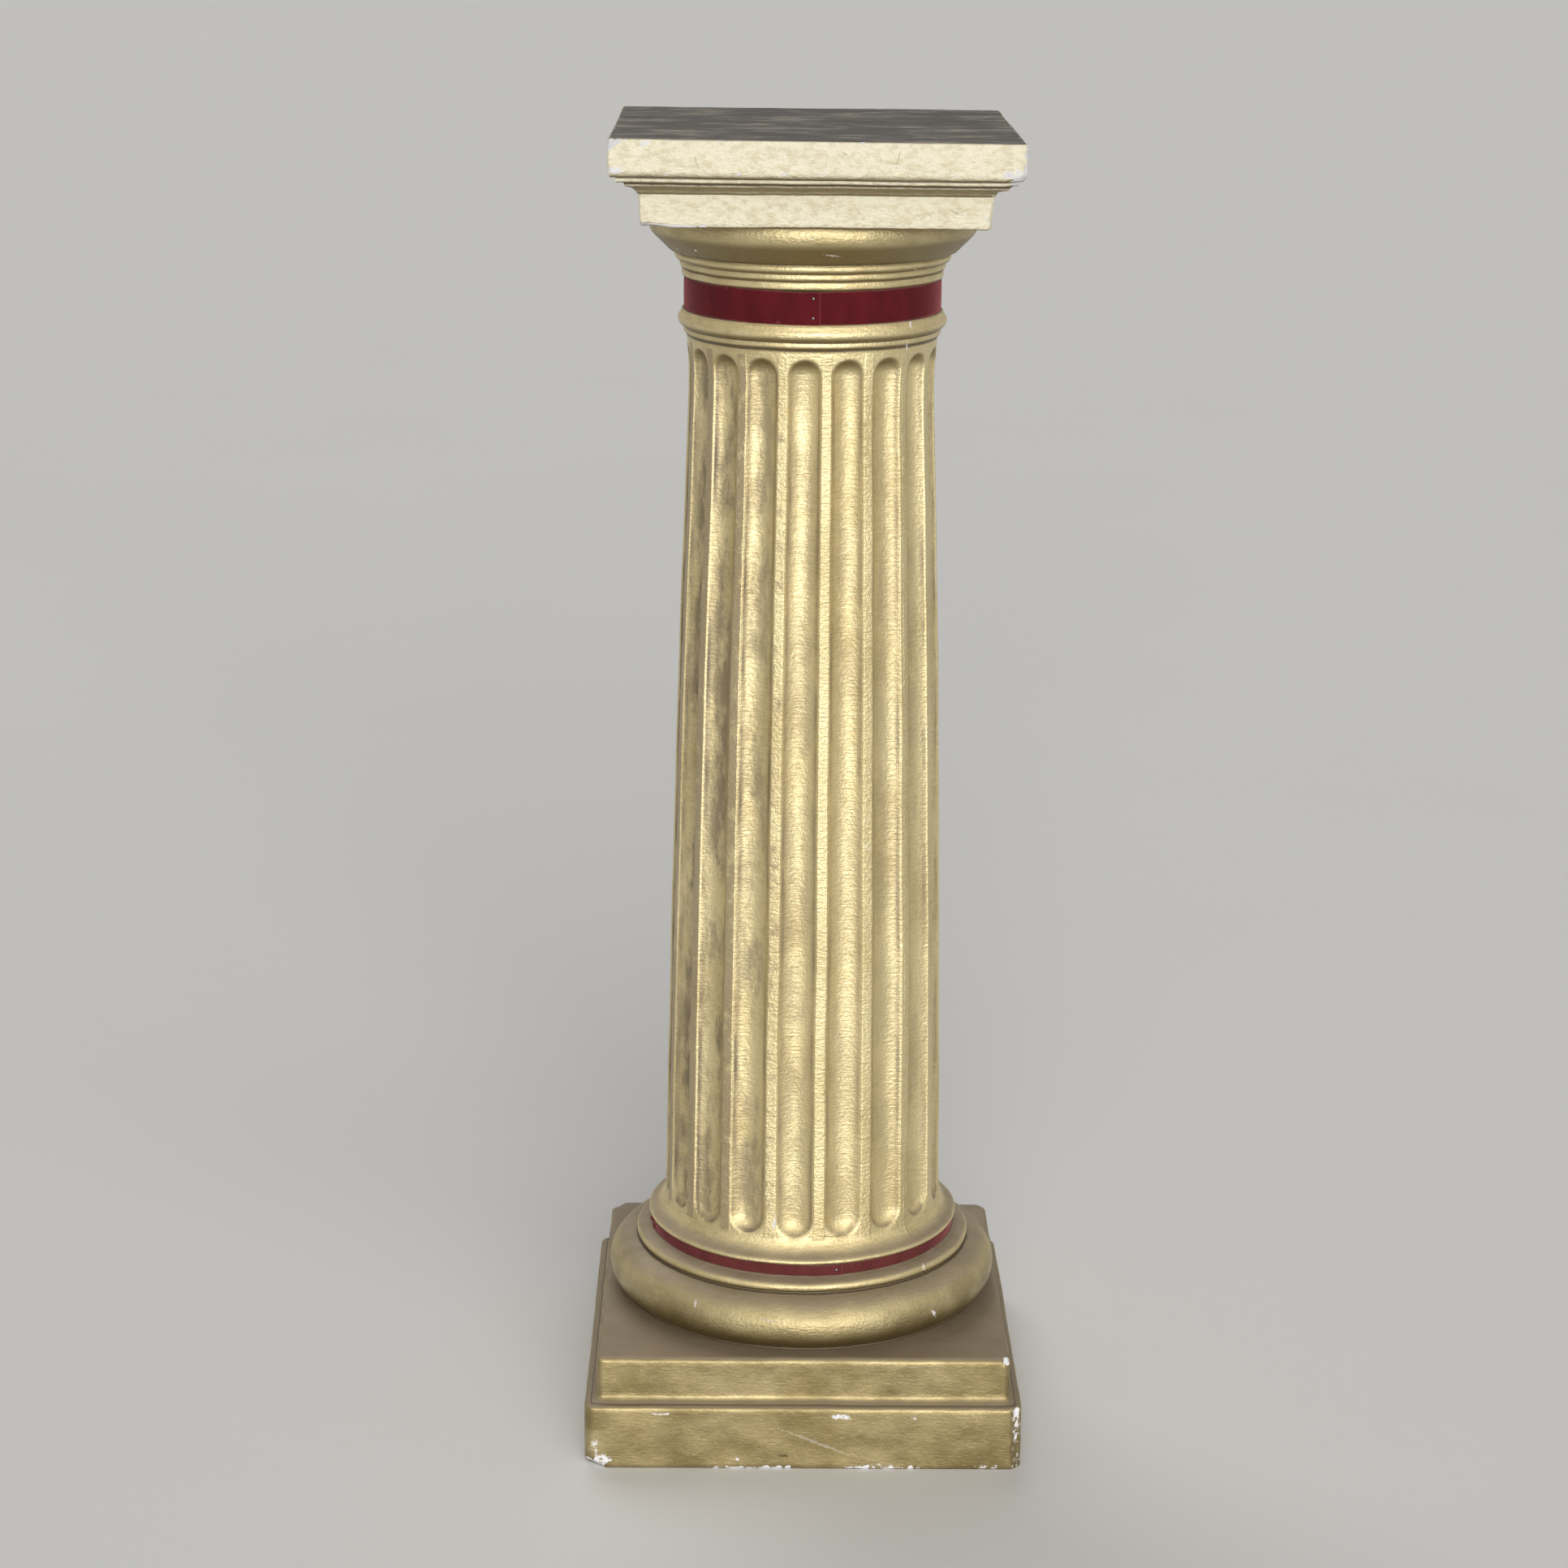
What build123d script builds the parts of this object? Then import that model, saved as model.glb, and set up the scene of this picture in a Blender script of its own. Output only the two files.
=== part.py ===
# Fluted plaster pedestal column, painted gold, with two velvet ribbons pinned round it.
# Millimetres, +Z up. The origin is the middle of the plinth's underside.
# The column faces -Y, and azimuths run in degrees from -Y towards +X.
import os
from math import cos, degrees, hypot, radians, sin, sqrt

from build123d import *

# Overall size
column_height = 1067.0
plinth_width = 356.0
abacus_width = 312.0

# Plinth: a foot block, a ledge with a splay above it, and an upper block
foot_height = 54.0
foot_corner = 8.0
foot_arris = 1.6
upper_block_width = 336.0
upper_block_corner = 4.0
upper_block_arris = 2.5
plinth_height = 92.5
plinth_splay = 4.0

# Torus: a half-round bead on the plinth
torus_radius = 163.0
torus_bead = 22.0

# Flat facets that each round form is made in
torus_facets = 5
ring_facets = 2
apophyge_facets = 2
astragal_facets = 3
annulet_facets = 2
echinus_facets = 2
pin_head_sides = 12

# Walls that the ribbons lie on
base_wall_radius = 127.0
base_wall_bottom = 148.0
base_wall_top = 157.5
neck_radius = 101.4
neck_bottom = 923.0
neck_top = 949.0

# Turned mouldings of the base, each point as a radius and a height
base_ring_foot = (137.2, 137.3)
base_ring_nose = (140.4, 141.9)
base_ring_head = (136.8, 145.7)
base_fillet_foot = (128.7, 157.5)
base_fillet_nose = (130.1, 159.7)
apophyge_foot = (127.3, 162.4)
apophyge_hollow = (119.7, 167.6)

# Shaft: a taper with a slight swelling, and a flare at its top
shaft_foot = (116.2, 176.0)
shaft_middle = (108.9, 530.0)
shaft_neck = (97.8, 866.0)
shaft_top = (99.6, 903.6)

# Turned mouldings of the neck, each point as a radius and a height
shaft_fillet = (102.2, 907.0)
astragal_foot = (101.2, 910.2)
astragal_nose = (106.6, 915.2)
neck_lip = (104.4, 921.8)
neck_fillet_low_arris = (103.8, 950.6)
neck_fillet_high_arris = (103.8, 954.4)
lower_annulet_foot = (102.8, 955.8)
lower_annulet_nose = (105.6, 958.6)
upper_annulet_foot = (104.2, 961.8)
upper_annulet_nose = (109.8, 965.8)
echinus_foot = (114.4, 970.2)
echinus_shoulder = (126.3, 981.9)
echinus_nose = (130.7, 990.5)
echinus_head = (129.0, 1000.0)

# Flutes: round grooves with round ends, and the flat fillets left between them
flute_count = 18
fillet_azimuth = 5.8
fillet_share = 0.235
flute_round = 19.0
flute_bottom = 176.5
flute_top = 894.0

# Abacus: a block with draft, a cove, two fillets and a slab with a bevelled underside
abacus_corner = 3.0
block_bottom = 1000.0
block_height = 25.2
block_foot_width = 265.2
block_head_width = 268.0
cove_width = 276.0
cove_rise = 4.1
low_fillet_width = 288.4
low_fillet_bottom = 1031.8
low_fillet_top = 1033.2
high_fillet_width = 301.6
high_fillet_bottom = 1035.3
high_fillet_top = 1036.9
fillet_softening = 1.0
slab_height = 25.0
slab_bevel_drop = 3.8
slab_bevel_angle = 28.0
slab_arris = 1.6

# Ribbons: each goes once round, climbs over its own start and ends in a pinned lap
ribbon_thickness = 0.8
lap_gap = 0.15
lap_length = 22.0
lap_ramp = 5.0
neck_ribbon_width = 25.4
neck_lap_azimuth = 2.5
base_ribbon_width = 9.0
base_lap_azimuth = 14.4

# Pins: bevelled heads on thin shanks, driven through the laps
pin_head_radius = 1.3
pin_head_height = 0.9
pin_shank_radius = 0.4
pin_length = 12.0
pin_to_lap_end = 5.5
pin_spacing = 15.1

# Worked out from the sizes above
block_top = block_bottom + block_height
slab_bottom = column_height - slab_height
torus_centre = torus_radius - torus_bead
torus_foot = (torus_centre, plinth_height)
torus_nose = (torus_radius, plinth_height + torus_bead)
torus_head = (torus_centre, plinth_height + 2 * torus_bead)
flute_pitch = 360 / flute_count
half_flute = flute_pitch * (1 - fillet_share) / 2
neck_middle = (neck_bottom + neck_top) / 2
base_middle = (base_wall_bottom + base_wall_top) / 2
lap_rise = ribbon_thickness + lap_gap
pin_underside = pin_length + lap_rise + ribbon_thickness
neck_pin_azimuth = neck_lap_azimuth - degrees(pin_to_lap_end / neck_radius)
base_pin_azimuth = base_lap_azimuth - degrees(pin_to_lap_end / base_wall_radius)

# Pins: azimuth, radius of the wall that each is driven into, and height
neck_pin_places = [
    (neck_pin_azimuth, neck_radius, neck_middle + pin_spacing / 2),
    (neck_pin_azimuth, neck_radius, neck_middle - pin_spacing / 2),
]
base_pin_place = (base_pin_azimuth, base_wall_radius, base_middle)

# Broken corners: each corner, and how far its break runs from it along X, Y and Z
half_slab = abacus_width / 2
half_block = block_foot_width / 2
half_upper = upper_block_width / 2
half_foot = plinth_width / 2
breaks = [
    ((-half_slab, -half_slab, column_height), (-11.0, -7.0, 8.0)),
    ((half_slab, -half_slab, slab_bottom - slab_bevel_drop), (14.0, -10.0, -6.0)),
    ((-half_block, -half_block, block_bottom), (-31.0, -7.0, -3.8)),
    ((half_block, -half_block, block_bottom), (5.5, -6.5, -26.0)),
    ((-half_upper, half_upper, plinth_height), (-15.0, 19.0, 9.0)),
    ((half_upper, half_upper, plinth_height), (10.0, 12.0, 8.0)),
    ((half_upper, -half_upper, plinth_height), (10.0, -8.0, 9.0)),
    ((-half_foot, -half_foot, 0.0), (-20.0, -17.0, -12.0)),
    ((half_foot, -half_foot, foot_height), (9.5, -9.5, 400.0)),
]

os.makedirs("parts", exist_ok=True)


def shaft_radius(height):
    """Radius of the shaft: a straight taper and a parabola for the swelling."""
    foot_radius, foot = shaft_foot
    middle_radius, middle = shaft_middle
    neck, top = shaft_neck
    share = (height - foot) / (top - foot)
    middle_share = (middle - foot) / (top - foot)
    swelling = middle_radius - foot_radius - (neck - foot_radius) * middle_share
    bow = share * (1 - share) / (middle_share * (1 - middle_share))
    return foot_radius + (neck - foot_radius) * share + swelling * bow


def flute_centre(height):
    """Distance from the column's axis to the centre of a flute's round, which meets both arrises."""
    radius = shaft_radius(height)
    half_chord = radius * sin(radians(half_flute))
    chord_distance = radius * cos(radians(half_flute))
    return chord_distance + sqrt(flute_round**2 - half_chord**2)


def radial_plane(azimuth):
    """Upright plane through the column's axis: x points out at the azimuth, y points up."""
    out = Vector(sin(radians(azimuth)), -cos(radians(azimuth)), 0)
    return Plane(origin=(0, 0, 0), x_dir=out, z_dir=out.cross(Vector(0, 0, 1)))


def wall_plane(azimuth, radius, height):
    """Plane that touches a round wall at an azimuth and a height, facing straight out."""
    out = radial_plane(azimuth).x_dir
    return Plane(origin=out * radius + Vector(0, 0, height), x_dir=(0, 0, 1), z_dir=out)


def break_plane(corner, reach):
    """Plane through the three points where a break leaves a corner's edges, facing outwards."""
    outward = Vector(1 / reach[0], 1 / reach[1], 1 / reach[2])
    return Plane(origin=Vector(*corner) - Vector(*reach) / 3, z_dir=outward)


def round_point(radius, angle):
    """Point of a plan at a distance from the column's axis and an angle from +X."""
    return (radius * cos(radians(angle)), radius * sin(radians(angle)))


def ribbon_plan(radius, lap_azimuth, height):
    """Plan of a ribbon that goes once round a wall, climbs over its start and ends in a lap."""
    lap_angle = degrees(lap_length / radius)
    ramp_angle = degrees(lap_ramp / radius)
    gap_angle = degrees(lap_gap / radius)
    end = lap_azimuth - 90
    start = end - lap_angle
    outer = radius + ribbon_thickness
    second = radius + lap_rise
    top = second + ribbon_thickness
    with BuildSketch(Plane.XY.offset(height)) as plan:
        with BuildLine():
            CenterArc((0, 0), radius, start, 360 - ramp_angle)
            Line(round_point(radius, start - ramp_angle), round_point(second, start - gap_angle))
            CenterArc((0, 0), second, start - gap_angle, gap_angle + lap_angle)
            Line(round_point(second, end), round_point(top, end))
            CenterArc((0, 0), top, start - gap_angle, gap_angle + lap_angle)
            Line(round_point(top, start - gap_angle), round_point(outer, start - ramp_angle))
            CenterArc((0, 0), outer, start, 360 - ramp_angle)
            Line(round_point(outer, start), round_point(radius, start))
        make_face()
    return plan.sketch


def pin_form(azimuth, wall_radius, height):
    """A pin: a six-sided shank from its tip to the lap, and a bevelled many-sided head on the lap."""
    with BuildPart() as pin:
        with BuildSketch(wall_plane(azimuth, wall_radius - pin_length, height)):
            RegularPolygon(pin_shank_radius, 6)
        extrude(amount=pin_underside)
        with BuildSketch(wall_plane(azimuth, wall_radius - pin_length + pin_underside, height)):
            RegularPolygon(pin_head_radius, pin_head_sides)
        extrude(amount=pin_head_height)
        outward = wall_plane(azimuth, wall_radius, height).z_dir
        head_top = pin.faces().sort_by(Axis((0, 0, 0), outward))[-1]
        chamfer(head_top.edges(), pin_head_height / 2)
    return pin.part


def pin_hole(azimuth, wall_radius, height):
    """Six-sided hole that a pin's shank fills, from its tip to just under its head."""
    with BuildPart() as hole:
        with BuildSketch(wall_plane(azimuth, wall_radius - pin_length, height)):
            RegularPolygon(pin_shank_radius, 6)
        extrude(amount=pin_underside)
    return hole.part


def round_stretch(foot, nose, head, facets):
    """Points of a round moulding in equal facets, up to its head, where the next stretch starts."""
    curve = Edge.make_three_point_arc(foot, nose, head)
    return [curve @ (step / facets) for step in range(facets)]


def moulding_half_section():
    """Half section of the abacus moulding: a cove, two softened fillets and the slab's bed."""
    cove_foot = (block_head_width / 2, block_top)
    cove_hollow = (cove_width / 2, block_top + cove_rise)
    low_half = low_fillet_width / 2
    high_half = high_fillet_width / 2
    cove_head = (low_half - fillet_softening, low_fillet_bottom - fillet_softening)
    with BuildSketch(Plane.XZ) as section:
        with BuildLine():
            Line((0, block_top), cove_foot)
            ThreePointArc(cove_foot, cove_hollow, cove_head)
            Polyline(
                cove_head,
                (low_half, low_fillet_bottom),
                (low_half, low_fillet_top),
                (high_half - fillet_softening, high_fillet_bottom - fillet_softening),
                (high_half, high_fillet_bottom),
                (high_half, high_fillet_top),
                (high_half - fillet_softening, slab_bottom),
                (0, slab_bottom),
                (0, block_top),
            )
        make_face()
    return section.sketch


def turned_half_section():
    """Half section of everything that was run round the axis, from the torus to the echinus."""
    base = [
        (0, foot_height),
        (torus_centre, foot_height),
        *round_stretch(torus_foot, torus_nose, torus_head, torus_facets),
        torus_head,
        *round_stretch(base_ring_foot, base_ring_nose, base_ring_head, ring_facets),
        base_ring_head,
        (base_wall_radius, base_wall_bottom),
        (base_wall_radius, base_wall_top),
        base_fillet_foot,
        base_fillet_nose,
        *round_stretch(apophyge_foot, apophyge_hollow, shaft_foot, apophyge_facets),
        shaft_foot,
    ]
    neck = [
        shaft_neck,
        shaft_top,
        shaft_fillet,
        *round_stretch(astragal_foot, astragal_nose, neck_lip, astragal_facets),
        neck_lip,
        (neck_radius, neck_bottom),
        (neck_radius, neck_top),
        neck_fillet_low_arris,
        neck_fillet_high_arris,
        *round_stretch(lower_annulet_foot, lower_annulet_nose, upper_annulet_foot, annulet_facets),
        *round_stretch(upper_annulet_foot, upper_annulet_nose, echinus_foot, annulet_facets),
        echinus_foot,
        *round_stretch(echinus_shoulder, echinus_nose, echinus_head, echinus_facets),
        echinus_head,
        (0, block_bottom),
        (0, foot_height),
    ]
    with BuildSketch(Plane.XZ) as section:
        with BuildLine():
            Polyline(*base)
            ThreePointArc(shaft_foot, shaft_middle, shaft_neck)
            Polyline(*neck)
        make_face()
    return section.sketch


# Cove and fillets of the abacus: one section run along X and along Y, mitred at the corners
with BuildPart() as abacus_moulding:
    with BuildSketch(Plane.XZ) as moulding_section:
        add(moulding_half_section())
        mirror(about=Plane.YZ)
    extrude(amount=half_slab, both=True)
    across = moulding_section.sketch.rotate(Axis.Z, 90)
    extrude(across, amount=half_slab, both=True, mode=Mode.INTERSECT)

# Slab and block of the abacus, with the moulding between them
with BuildPart() as abacus_form:
    with BuildSketch(Plane.XY.offset(slab_bottom)) as slab_plan:
        RectangleRounded(abacus_width, abacus_width, abacus_corner)
    extrude(amount=slab_height)
    chamfer(abacus_form.edges().group_by(Axis.Z)[-1], slab_arris)
    extrude(slab_plan.sketch, amount=-slab_bevel_drop, taper=slab_bevel_angle)
    with BuildSketch(Plane.XY.offset(block_bottom)):
        RectangleRounded(block_foot_width, block_foot_width, abacus_corner)
    with BuildSketch(Plane.XY.offset(block_top)):
        RectangleRounded(block_head_width, block_head_width, abacus_corner)
    loft()
    add(abacus_moulding.part)

# One flute: a round groove with a ball at each end, leaning with the shaft
with BuildPart() as flute_form:
    foot_level = flute_bottom + shaft_foot[0] * sin(radians(half_flute))
    head_level = flute_top - shaft_neck[0] * sin(radians(half_flute))
    foot_centre = flute_centre(foot_level)
    head_centre = flute_centre(head_level)
    axis_length = hypot(head_level - foot_level, head_centre - foot_centre)
    radial = radial_plane(fillet_azimuth + flute_pitch / 2)
    foot_point = radial.from_local_coords(Vector(foot_centre, foot_level, 0))
    head_point = radial.from_local_coords(Vector(head_centre, head_level, 0))
    with BuildSketch(Plane(origin=foot_point, x_dir=head_point - foot_point, z_dir=radial.z_dir)):
        with BuildLine():
            Line((-flute_round, 0), (axis_length + flute_round, 0))
            CenterArc((axis_length, 0), flute_round, 0, 90)
            Line((axis_length, flute_round), (0, flute_round))
            CenterArc((0, 0), flute_round, 90, 90)
        make_face()
    revolve(axis=Axis(foot_point, head_point - foot_point))

# The casting: plinth, base mouldings, fluted shaft, neck, echinus and abacus in one piece
with BuildPart() as column_casting:
    with BuildSketch():
        RectangleRounded(plinth_width, plinth_width, foot_corner)
    extrude(amount=foot_height)
    chamfer(column_casting.edges().group_by(Axis.Z)[-1], foot_arris)
    with BuildSketch(Plane.XY.offset(foot_height)):
        RectangleRounded(upper_block_width, upper_block_width, upper_block_corner)
    extrude(amount=plinth_height - foot_height)
    chamfer(column_casting.edges().group_by(Axis.Z)[-1], upper_block_arris)
    level_faces = column_casting.faces().filter_by(Axis.Z)
    ledge = level_faces.sort_by(lambda face: abs(face.center().Z - foot_height))[0]
    chamfer(ledge.inner_wires()[0].edges(), plinth_splay)
    revolve(turned_half_section(), axis=Axis.Z)
    for number in range(flute_count):
        add(flute_form.part.rotate(Axis.Z, number * flute_pitch), mode=Mode.SUBTRACT)
    add(abacus_form.part)

    # Breaks: flat cuts across corners that have been knocked off
    for corner, reach in breaks:
        with Locations(break_plane(corner, reach).location):
            outside = (Align.CENTER, Align.CENTER, Align.MIN)
            size = 2 * max(map(abs, reach))
            Box(size, size, size, align=outside, mode=Mode.SUBTRACT)

    # Holes that the pins made in the plaster
    for place in [*neck_pin_places, base_pin_place]:
        add(pin_hole(*place), mode=Mode.SUBTRACT)

# Velvet ribbon round the neck, one inch wide, with two pin holes through its lap
with BuildPart() as neck_ribbon:
    neck_ribbon_bottom = neck_middle - neck_ribbon_width / 2
    extrude(ribbon_plan(neck_radius, neck_lap_azimuth, neck_ribbon_bottom), amount=neck_ribbon_width)
    for place in neck_pin_places:
        add(pin_hole(*place), mode=Mode.SUBTRACT)

# Narrow velvet ribbon round the wall above the base ring, with one pin hole
with BuildPart() as base_ribbon:
    base_ribbon_bottom = base_middle - base_ribbon_width / 2
    extrude(ribbon_plan(base_wall_radius, base_lap_azimuth, base_ribbon_bottom), amount=base_ribbon_width)
    add(pin_hole(*base_pin_place), mode=Mode.SUBTRACT)

# Two pins through the lap of the neck ribbon
with BuildPart() as neck_ribbon_pins:
    for place in neck_pin_places:
        add(pin_form(*place))

# One pin through the lap of the base ribbon
with BuildPart() as base_ribbon_pin:
    add(pin_form(*base_pin_place))

column_casting.part.label = "column_casting"
neck_ribbon.part.label = "neck_ribbon"
base_ribbon.part.label = "base_ribbon"
neck_ribbon_pins.part.label = "neck_ribbon_pins"
base_ribbon_pin.part.label = "base_ribbon_pin"

for piece in (column_casting, neck_ribbon, base_ribbon, neck_ribbon_pins, base_ribbon_pin):
    export_step(piece.part, f"parts/{piece.part.label}.step")
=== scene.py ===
"""Looks of a fluted plaster column, painted gold, with two velvet ribbons pinned round it.

Sizes of sections are in millimetres, as the column was measured, and each mesh is brought to
metres once, when it is written. Azimuths run in degrees from -Y towards +X.
"""

import math

import bpy
import numpy as np
from bpy.props import FloatProperty, FloatVectorProperty, IntProperty, PointerProperty
from mathutils import Matrix, Vector


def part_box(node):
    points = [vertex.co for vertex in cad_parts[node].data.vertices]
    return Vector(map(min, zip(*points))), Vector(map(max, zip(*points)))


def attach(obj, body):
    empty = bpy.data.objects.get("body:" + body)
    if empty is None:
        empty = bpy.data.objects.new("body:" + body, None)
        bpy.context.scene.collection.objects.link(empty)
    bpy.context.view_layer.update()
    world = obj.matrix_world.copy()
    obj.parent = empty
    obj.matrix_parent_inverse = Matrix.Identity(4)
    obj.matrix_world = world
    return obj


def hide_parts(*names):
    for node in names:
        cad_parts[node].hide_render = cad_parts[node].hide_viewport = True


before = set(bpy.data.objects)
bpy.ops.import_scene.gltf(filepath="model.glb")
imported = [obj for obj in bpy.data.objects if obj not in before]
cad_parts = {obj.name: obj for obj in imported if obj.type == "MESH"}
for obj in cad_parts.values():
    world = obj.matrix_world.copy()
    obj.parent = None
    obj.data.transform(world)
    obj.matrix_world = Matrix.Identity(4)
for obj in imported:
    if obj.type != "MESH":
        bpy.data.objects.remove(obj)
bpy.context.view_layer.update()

bl_info = {
    "name": "Gold plaster column",
    "version": (1, 0, 0),
    "blender": (4, 5, 0),
    "location": "3D view, sidebar, Column tab",
    "description": "Fluted plaster column painted gold, with pinned velvet ribbons",
    "category": "Object",
}

MM = 0.001
BODY = "root"
casting_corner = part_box("column_casting")[1]
COLUMN_HEIGHT = casting_corner.z / MM
FOOT_HALF = casting_corner.x / MM

# Plinth: half widths and heights
FOOT_TOP = 54.0
FOOT_CORNER = 8.0
FOOT_ARRIS = 3.2
FOOT_UNDER_ARRIS = 1.4
UPPER_HALF = 168.0
UPPER_TOP = 92.5
UPPER_CORNER = 5.0
UPPER_ARRIS = 4.2
SPLAY = ((172.2, 54.6), (169.5, 56.3), (168.0, 59.8))

# Turned mouldings from the plinth up: foot, nose and head of each, as radius and height
TORUS_FILLET = ((151.3, 92.5), (150.3, 93.0), (150.6, 94.7))
TORUS = ((150.6, 94.7), (163.0, 114.5), (141.0, 136.5))
BASE_RING = ((137.4, 137.5), (140.4, 141.9), (136.8, 145.7))
BASE_WALL = ((127.0, 148.4), (127.0, 157.1))
BASE_FILLET = ((128.7, 157.5), (130.1, 159.7), (128.5, 161.8))
APOPHYGE = ((127.3, 162.4), (119.9, 167.7), (116.2, 176.0))
SHAFT_MIDDLE = (108.9, 530.0)
SHAFT_NECK = (97.8, 866.0)
SHAFT_TOP = (99.6, 903.6)
SHAFT_FILLET = ((101.2, 904.2), (102.3, 906.3), (101.2, 908.6))
ASTRAGAL = ((101.3, 909.4), (106.7, 915.0), (105.6, 918.6))
NECK_LIP = ((104.0, 920.2), (103.7, 922.6))
NECK_WALL = ((101.4, 923.0), (101.4, 949.0))
NECK_FILLET = ((103.3, 949.5), (103.9, 950.8), (103.9, 954.2), (102.8, 955.6))
LOWER_ANNULET = ((102.8, 955.9), (105.6, 958.6), (104.0, 961.4))
UPPER_ANNULET = ((104.4, 962.0), (109.8, 965.8), (108.0, 969.4))
ECHINUS_FOOT = (114.4, 970.2)
ECHINUS = ((126.3, 981.9), (130.7, 990.5), (129.1, 999.4))
BLOCK_GROOVE = 127.0

# Abacus: half widths and heights
BLOCK_FOOT = (132.6, 1000.0)
BLOCK_HEAD = (134.0, 1025.2)
COVE_HOLLOW = (138.0, 1029.3)
COVE_HEAD = (143.0, 1030.9)
LOW_FILLET = ((144.2, 1031.8), (144.2, 1033.2))
FILLET_GROOVE = (145.2, 1034.2)
HIGH_FILLET = ((150.8, 1035.3), (150.8, 1036.9))
SLAB_GROOVE = (149.8, 1038.1)
SLAB_BED = (154.0, 1038.4)
SLAB_HALF = 156.0
SLAB_FOOT = 1042.0
SLAB_ARRIS = 1.9
ABACUS_CORNER = 3.0
MOULDING_CORNER = 1.0
SLAB_TILT = -0.0045

# Rings that cross the flat faces, as shares of the way over
PLINTH_TOP_RINGS = (0.06, 0.2, 0.45, 0.75, 1)
BLOCK_FOOT_RINGS = (0, 0.35, 0.7)
SLAB_TOP_RINGS = (0.02, 0.06, 0.12, 0.2, 0.3, 0.42, 0.56, 0.72, 0.88)

# Flutes and the two mould lines, with azimuths and half widths in degrees
FILLET_AZIMUTH = 5.8
SEAM_AZIMUTHS = (45.8, 225.8)
SEAM_HALF_WIDTHS = (0.05, 0.5)
FLUTE_FOOT = 176.5
FLUTE_HEAD = 894.0

# Bend of a section: how much of it is looked at, and what bend begins to count and counts in full
BEND_REACH = 2.2
BEND_RANGE = (0.12, 0.5)

# Broken corners: each corner, how far its break runs from it along X, Y and Z, and how white it is
BREAKS = (
    ((-SLAB_HALF, -SLAB_HALF, COLUMN_HEIGHT), (-11.0, -7.0, 8.0), 1.0),
    ((SLAB_HALF, -SLAB_HALF, SLAB_BED[1]), (14.0, -10.0, -6.0), 1.0),
    ((-BLOCK_FOOT[0], -BLOCK_FOOT[0], BLOCK_FOOT[1]), (-31.0, -7.0, -3.8), 0.9),
    ((BLOCK_FOOT[0], -BLOCK_FOOT[0], BLOCK_FOOT[1]), (5.5, -6.5, -26.0), 0.35),
    ((-UPPER_HALF, UPPER_HALF, UPPER_TOP), (-15.0, 19.0, 9.0), 0.3),
    ((UPPER_HALF, UPPER_HALF, UPPER_TOP), (10.0, 12.0, 8.0), 0.3),
    ((UPPER_HALF, -UPPER_HALF, UPPER_TOP), (10.0, -8.0, 9.0), 0.6),
    ((-FOOT_HALF, -FOOT_HALF, 0.0), (-20.0, -17.0, -12.0), 0.6),
    ((FOOT_HALF, -FOOT_HALF, FOOT_TOP), (9.5, -9.5, 400.0), 0.4),
)

# Nicked edges: start, end, number of nicks, their size and the way that they are pressed in
FAR = COLUMN_HEIGHT
NICKED_EDGES = (
    ((-SLAB_HALF, -SLAB_HALF, FAR), (SLAB_HALF, -SLAB_HALF, FAR), 11, 2.6, (0, 1, -1)),
    ((-SLAB_HALF, -SLAB_HALF, SLAB_FOOT), (SLAB_HALF, -SLAB_HALF, SLAB_FOOT), 9, 3.0, (0, 1, 1)),
    ((SLAB_HALF, -SLAB_HALF, SLAB_FOOT), (SLAB_HALF, -SLAB_HALF, FAR), 9, 4.0, (-1, 1, 0)),
    ((-SLAB_HALF, -SLAB_HALF, SLAB_FOOT), (-SLAB_HALF, -SLAB_HALF, FAR), 3, 3.0, (1, 1, 0)),
    ((SLAB_HALF, -SLAB_HALF, FAR), (SLAB_HALF, SLAB_HALF, FAR), 9, 3.4, (-1, 0, -1)),
    ((-SLAB_HALF, -SLAB_HALF, FAR), (-SLAB_HALF, SLAB_HALF, FAR), 6, 3.4, (1, 0, -1)),
    ((-SLAB_HALF, SLAB_HALF, FAR), (SLAB_HALF, SLAB_HALF, FAR), 7, 3.4, (0, -1, -1)),
    ((-BLOCK_FOOT[0], -BLOCK_FOOT[0], 1000), (-80, -BLOCK_FOOT[0], 1000), 4, 3.0, (0, 1, 1)),
    ((-90, -FOOT_HALF, 0), (90, -FOOT_HALF, 0), 14, 3.4, (0, 1, 1)),
    ((FOOT_HALF - 4, 4 - FOOT_HALF, 16), (FOOT_HALF - 4, 4 - FOOT_HALF, 54), 8, 4.0, (-1, 1, 0)),
    ((-FOOT_HALF, -FOOT_HALF, 8), (-FOOT_HALF, -FOOT_HALF, 30), 4, 4.0, (1, 1, 0)),
    ((FOOT_HALF, -FOOT_HALF, 0), (FOOT_HALF, FOOT_HALF, 0), 10, 4.0, (-1, 0, 1)),
    ((-FOOT_HALF, -FOOT_HALF, 0), (-FOOT_HALF, FOOT_HALF, 0), 10, 4.0, (1, 0, 1)),
    ((-FOOT_HALF, FOOT_HALF, 0), (FOOT_HALF, FOOT_HALF, 0), 10, 4.0, (0, -1, 1)),
    ((UPPER_HALF, -UPPER_HALF, 78), (UPPER_HALF, -UPPER_HALF, 92), 2, 3.4, (-1, 1, 0)),
)

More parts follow.
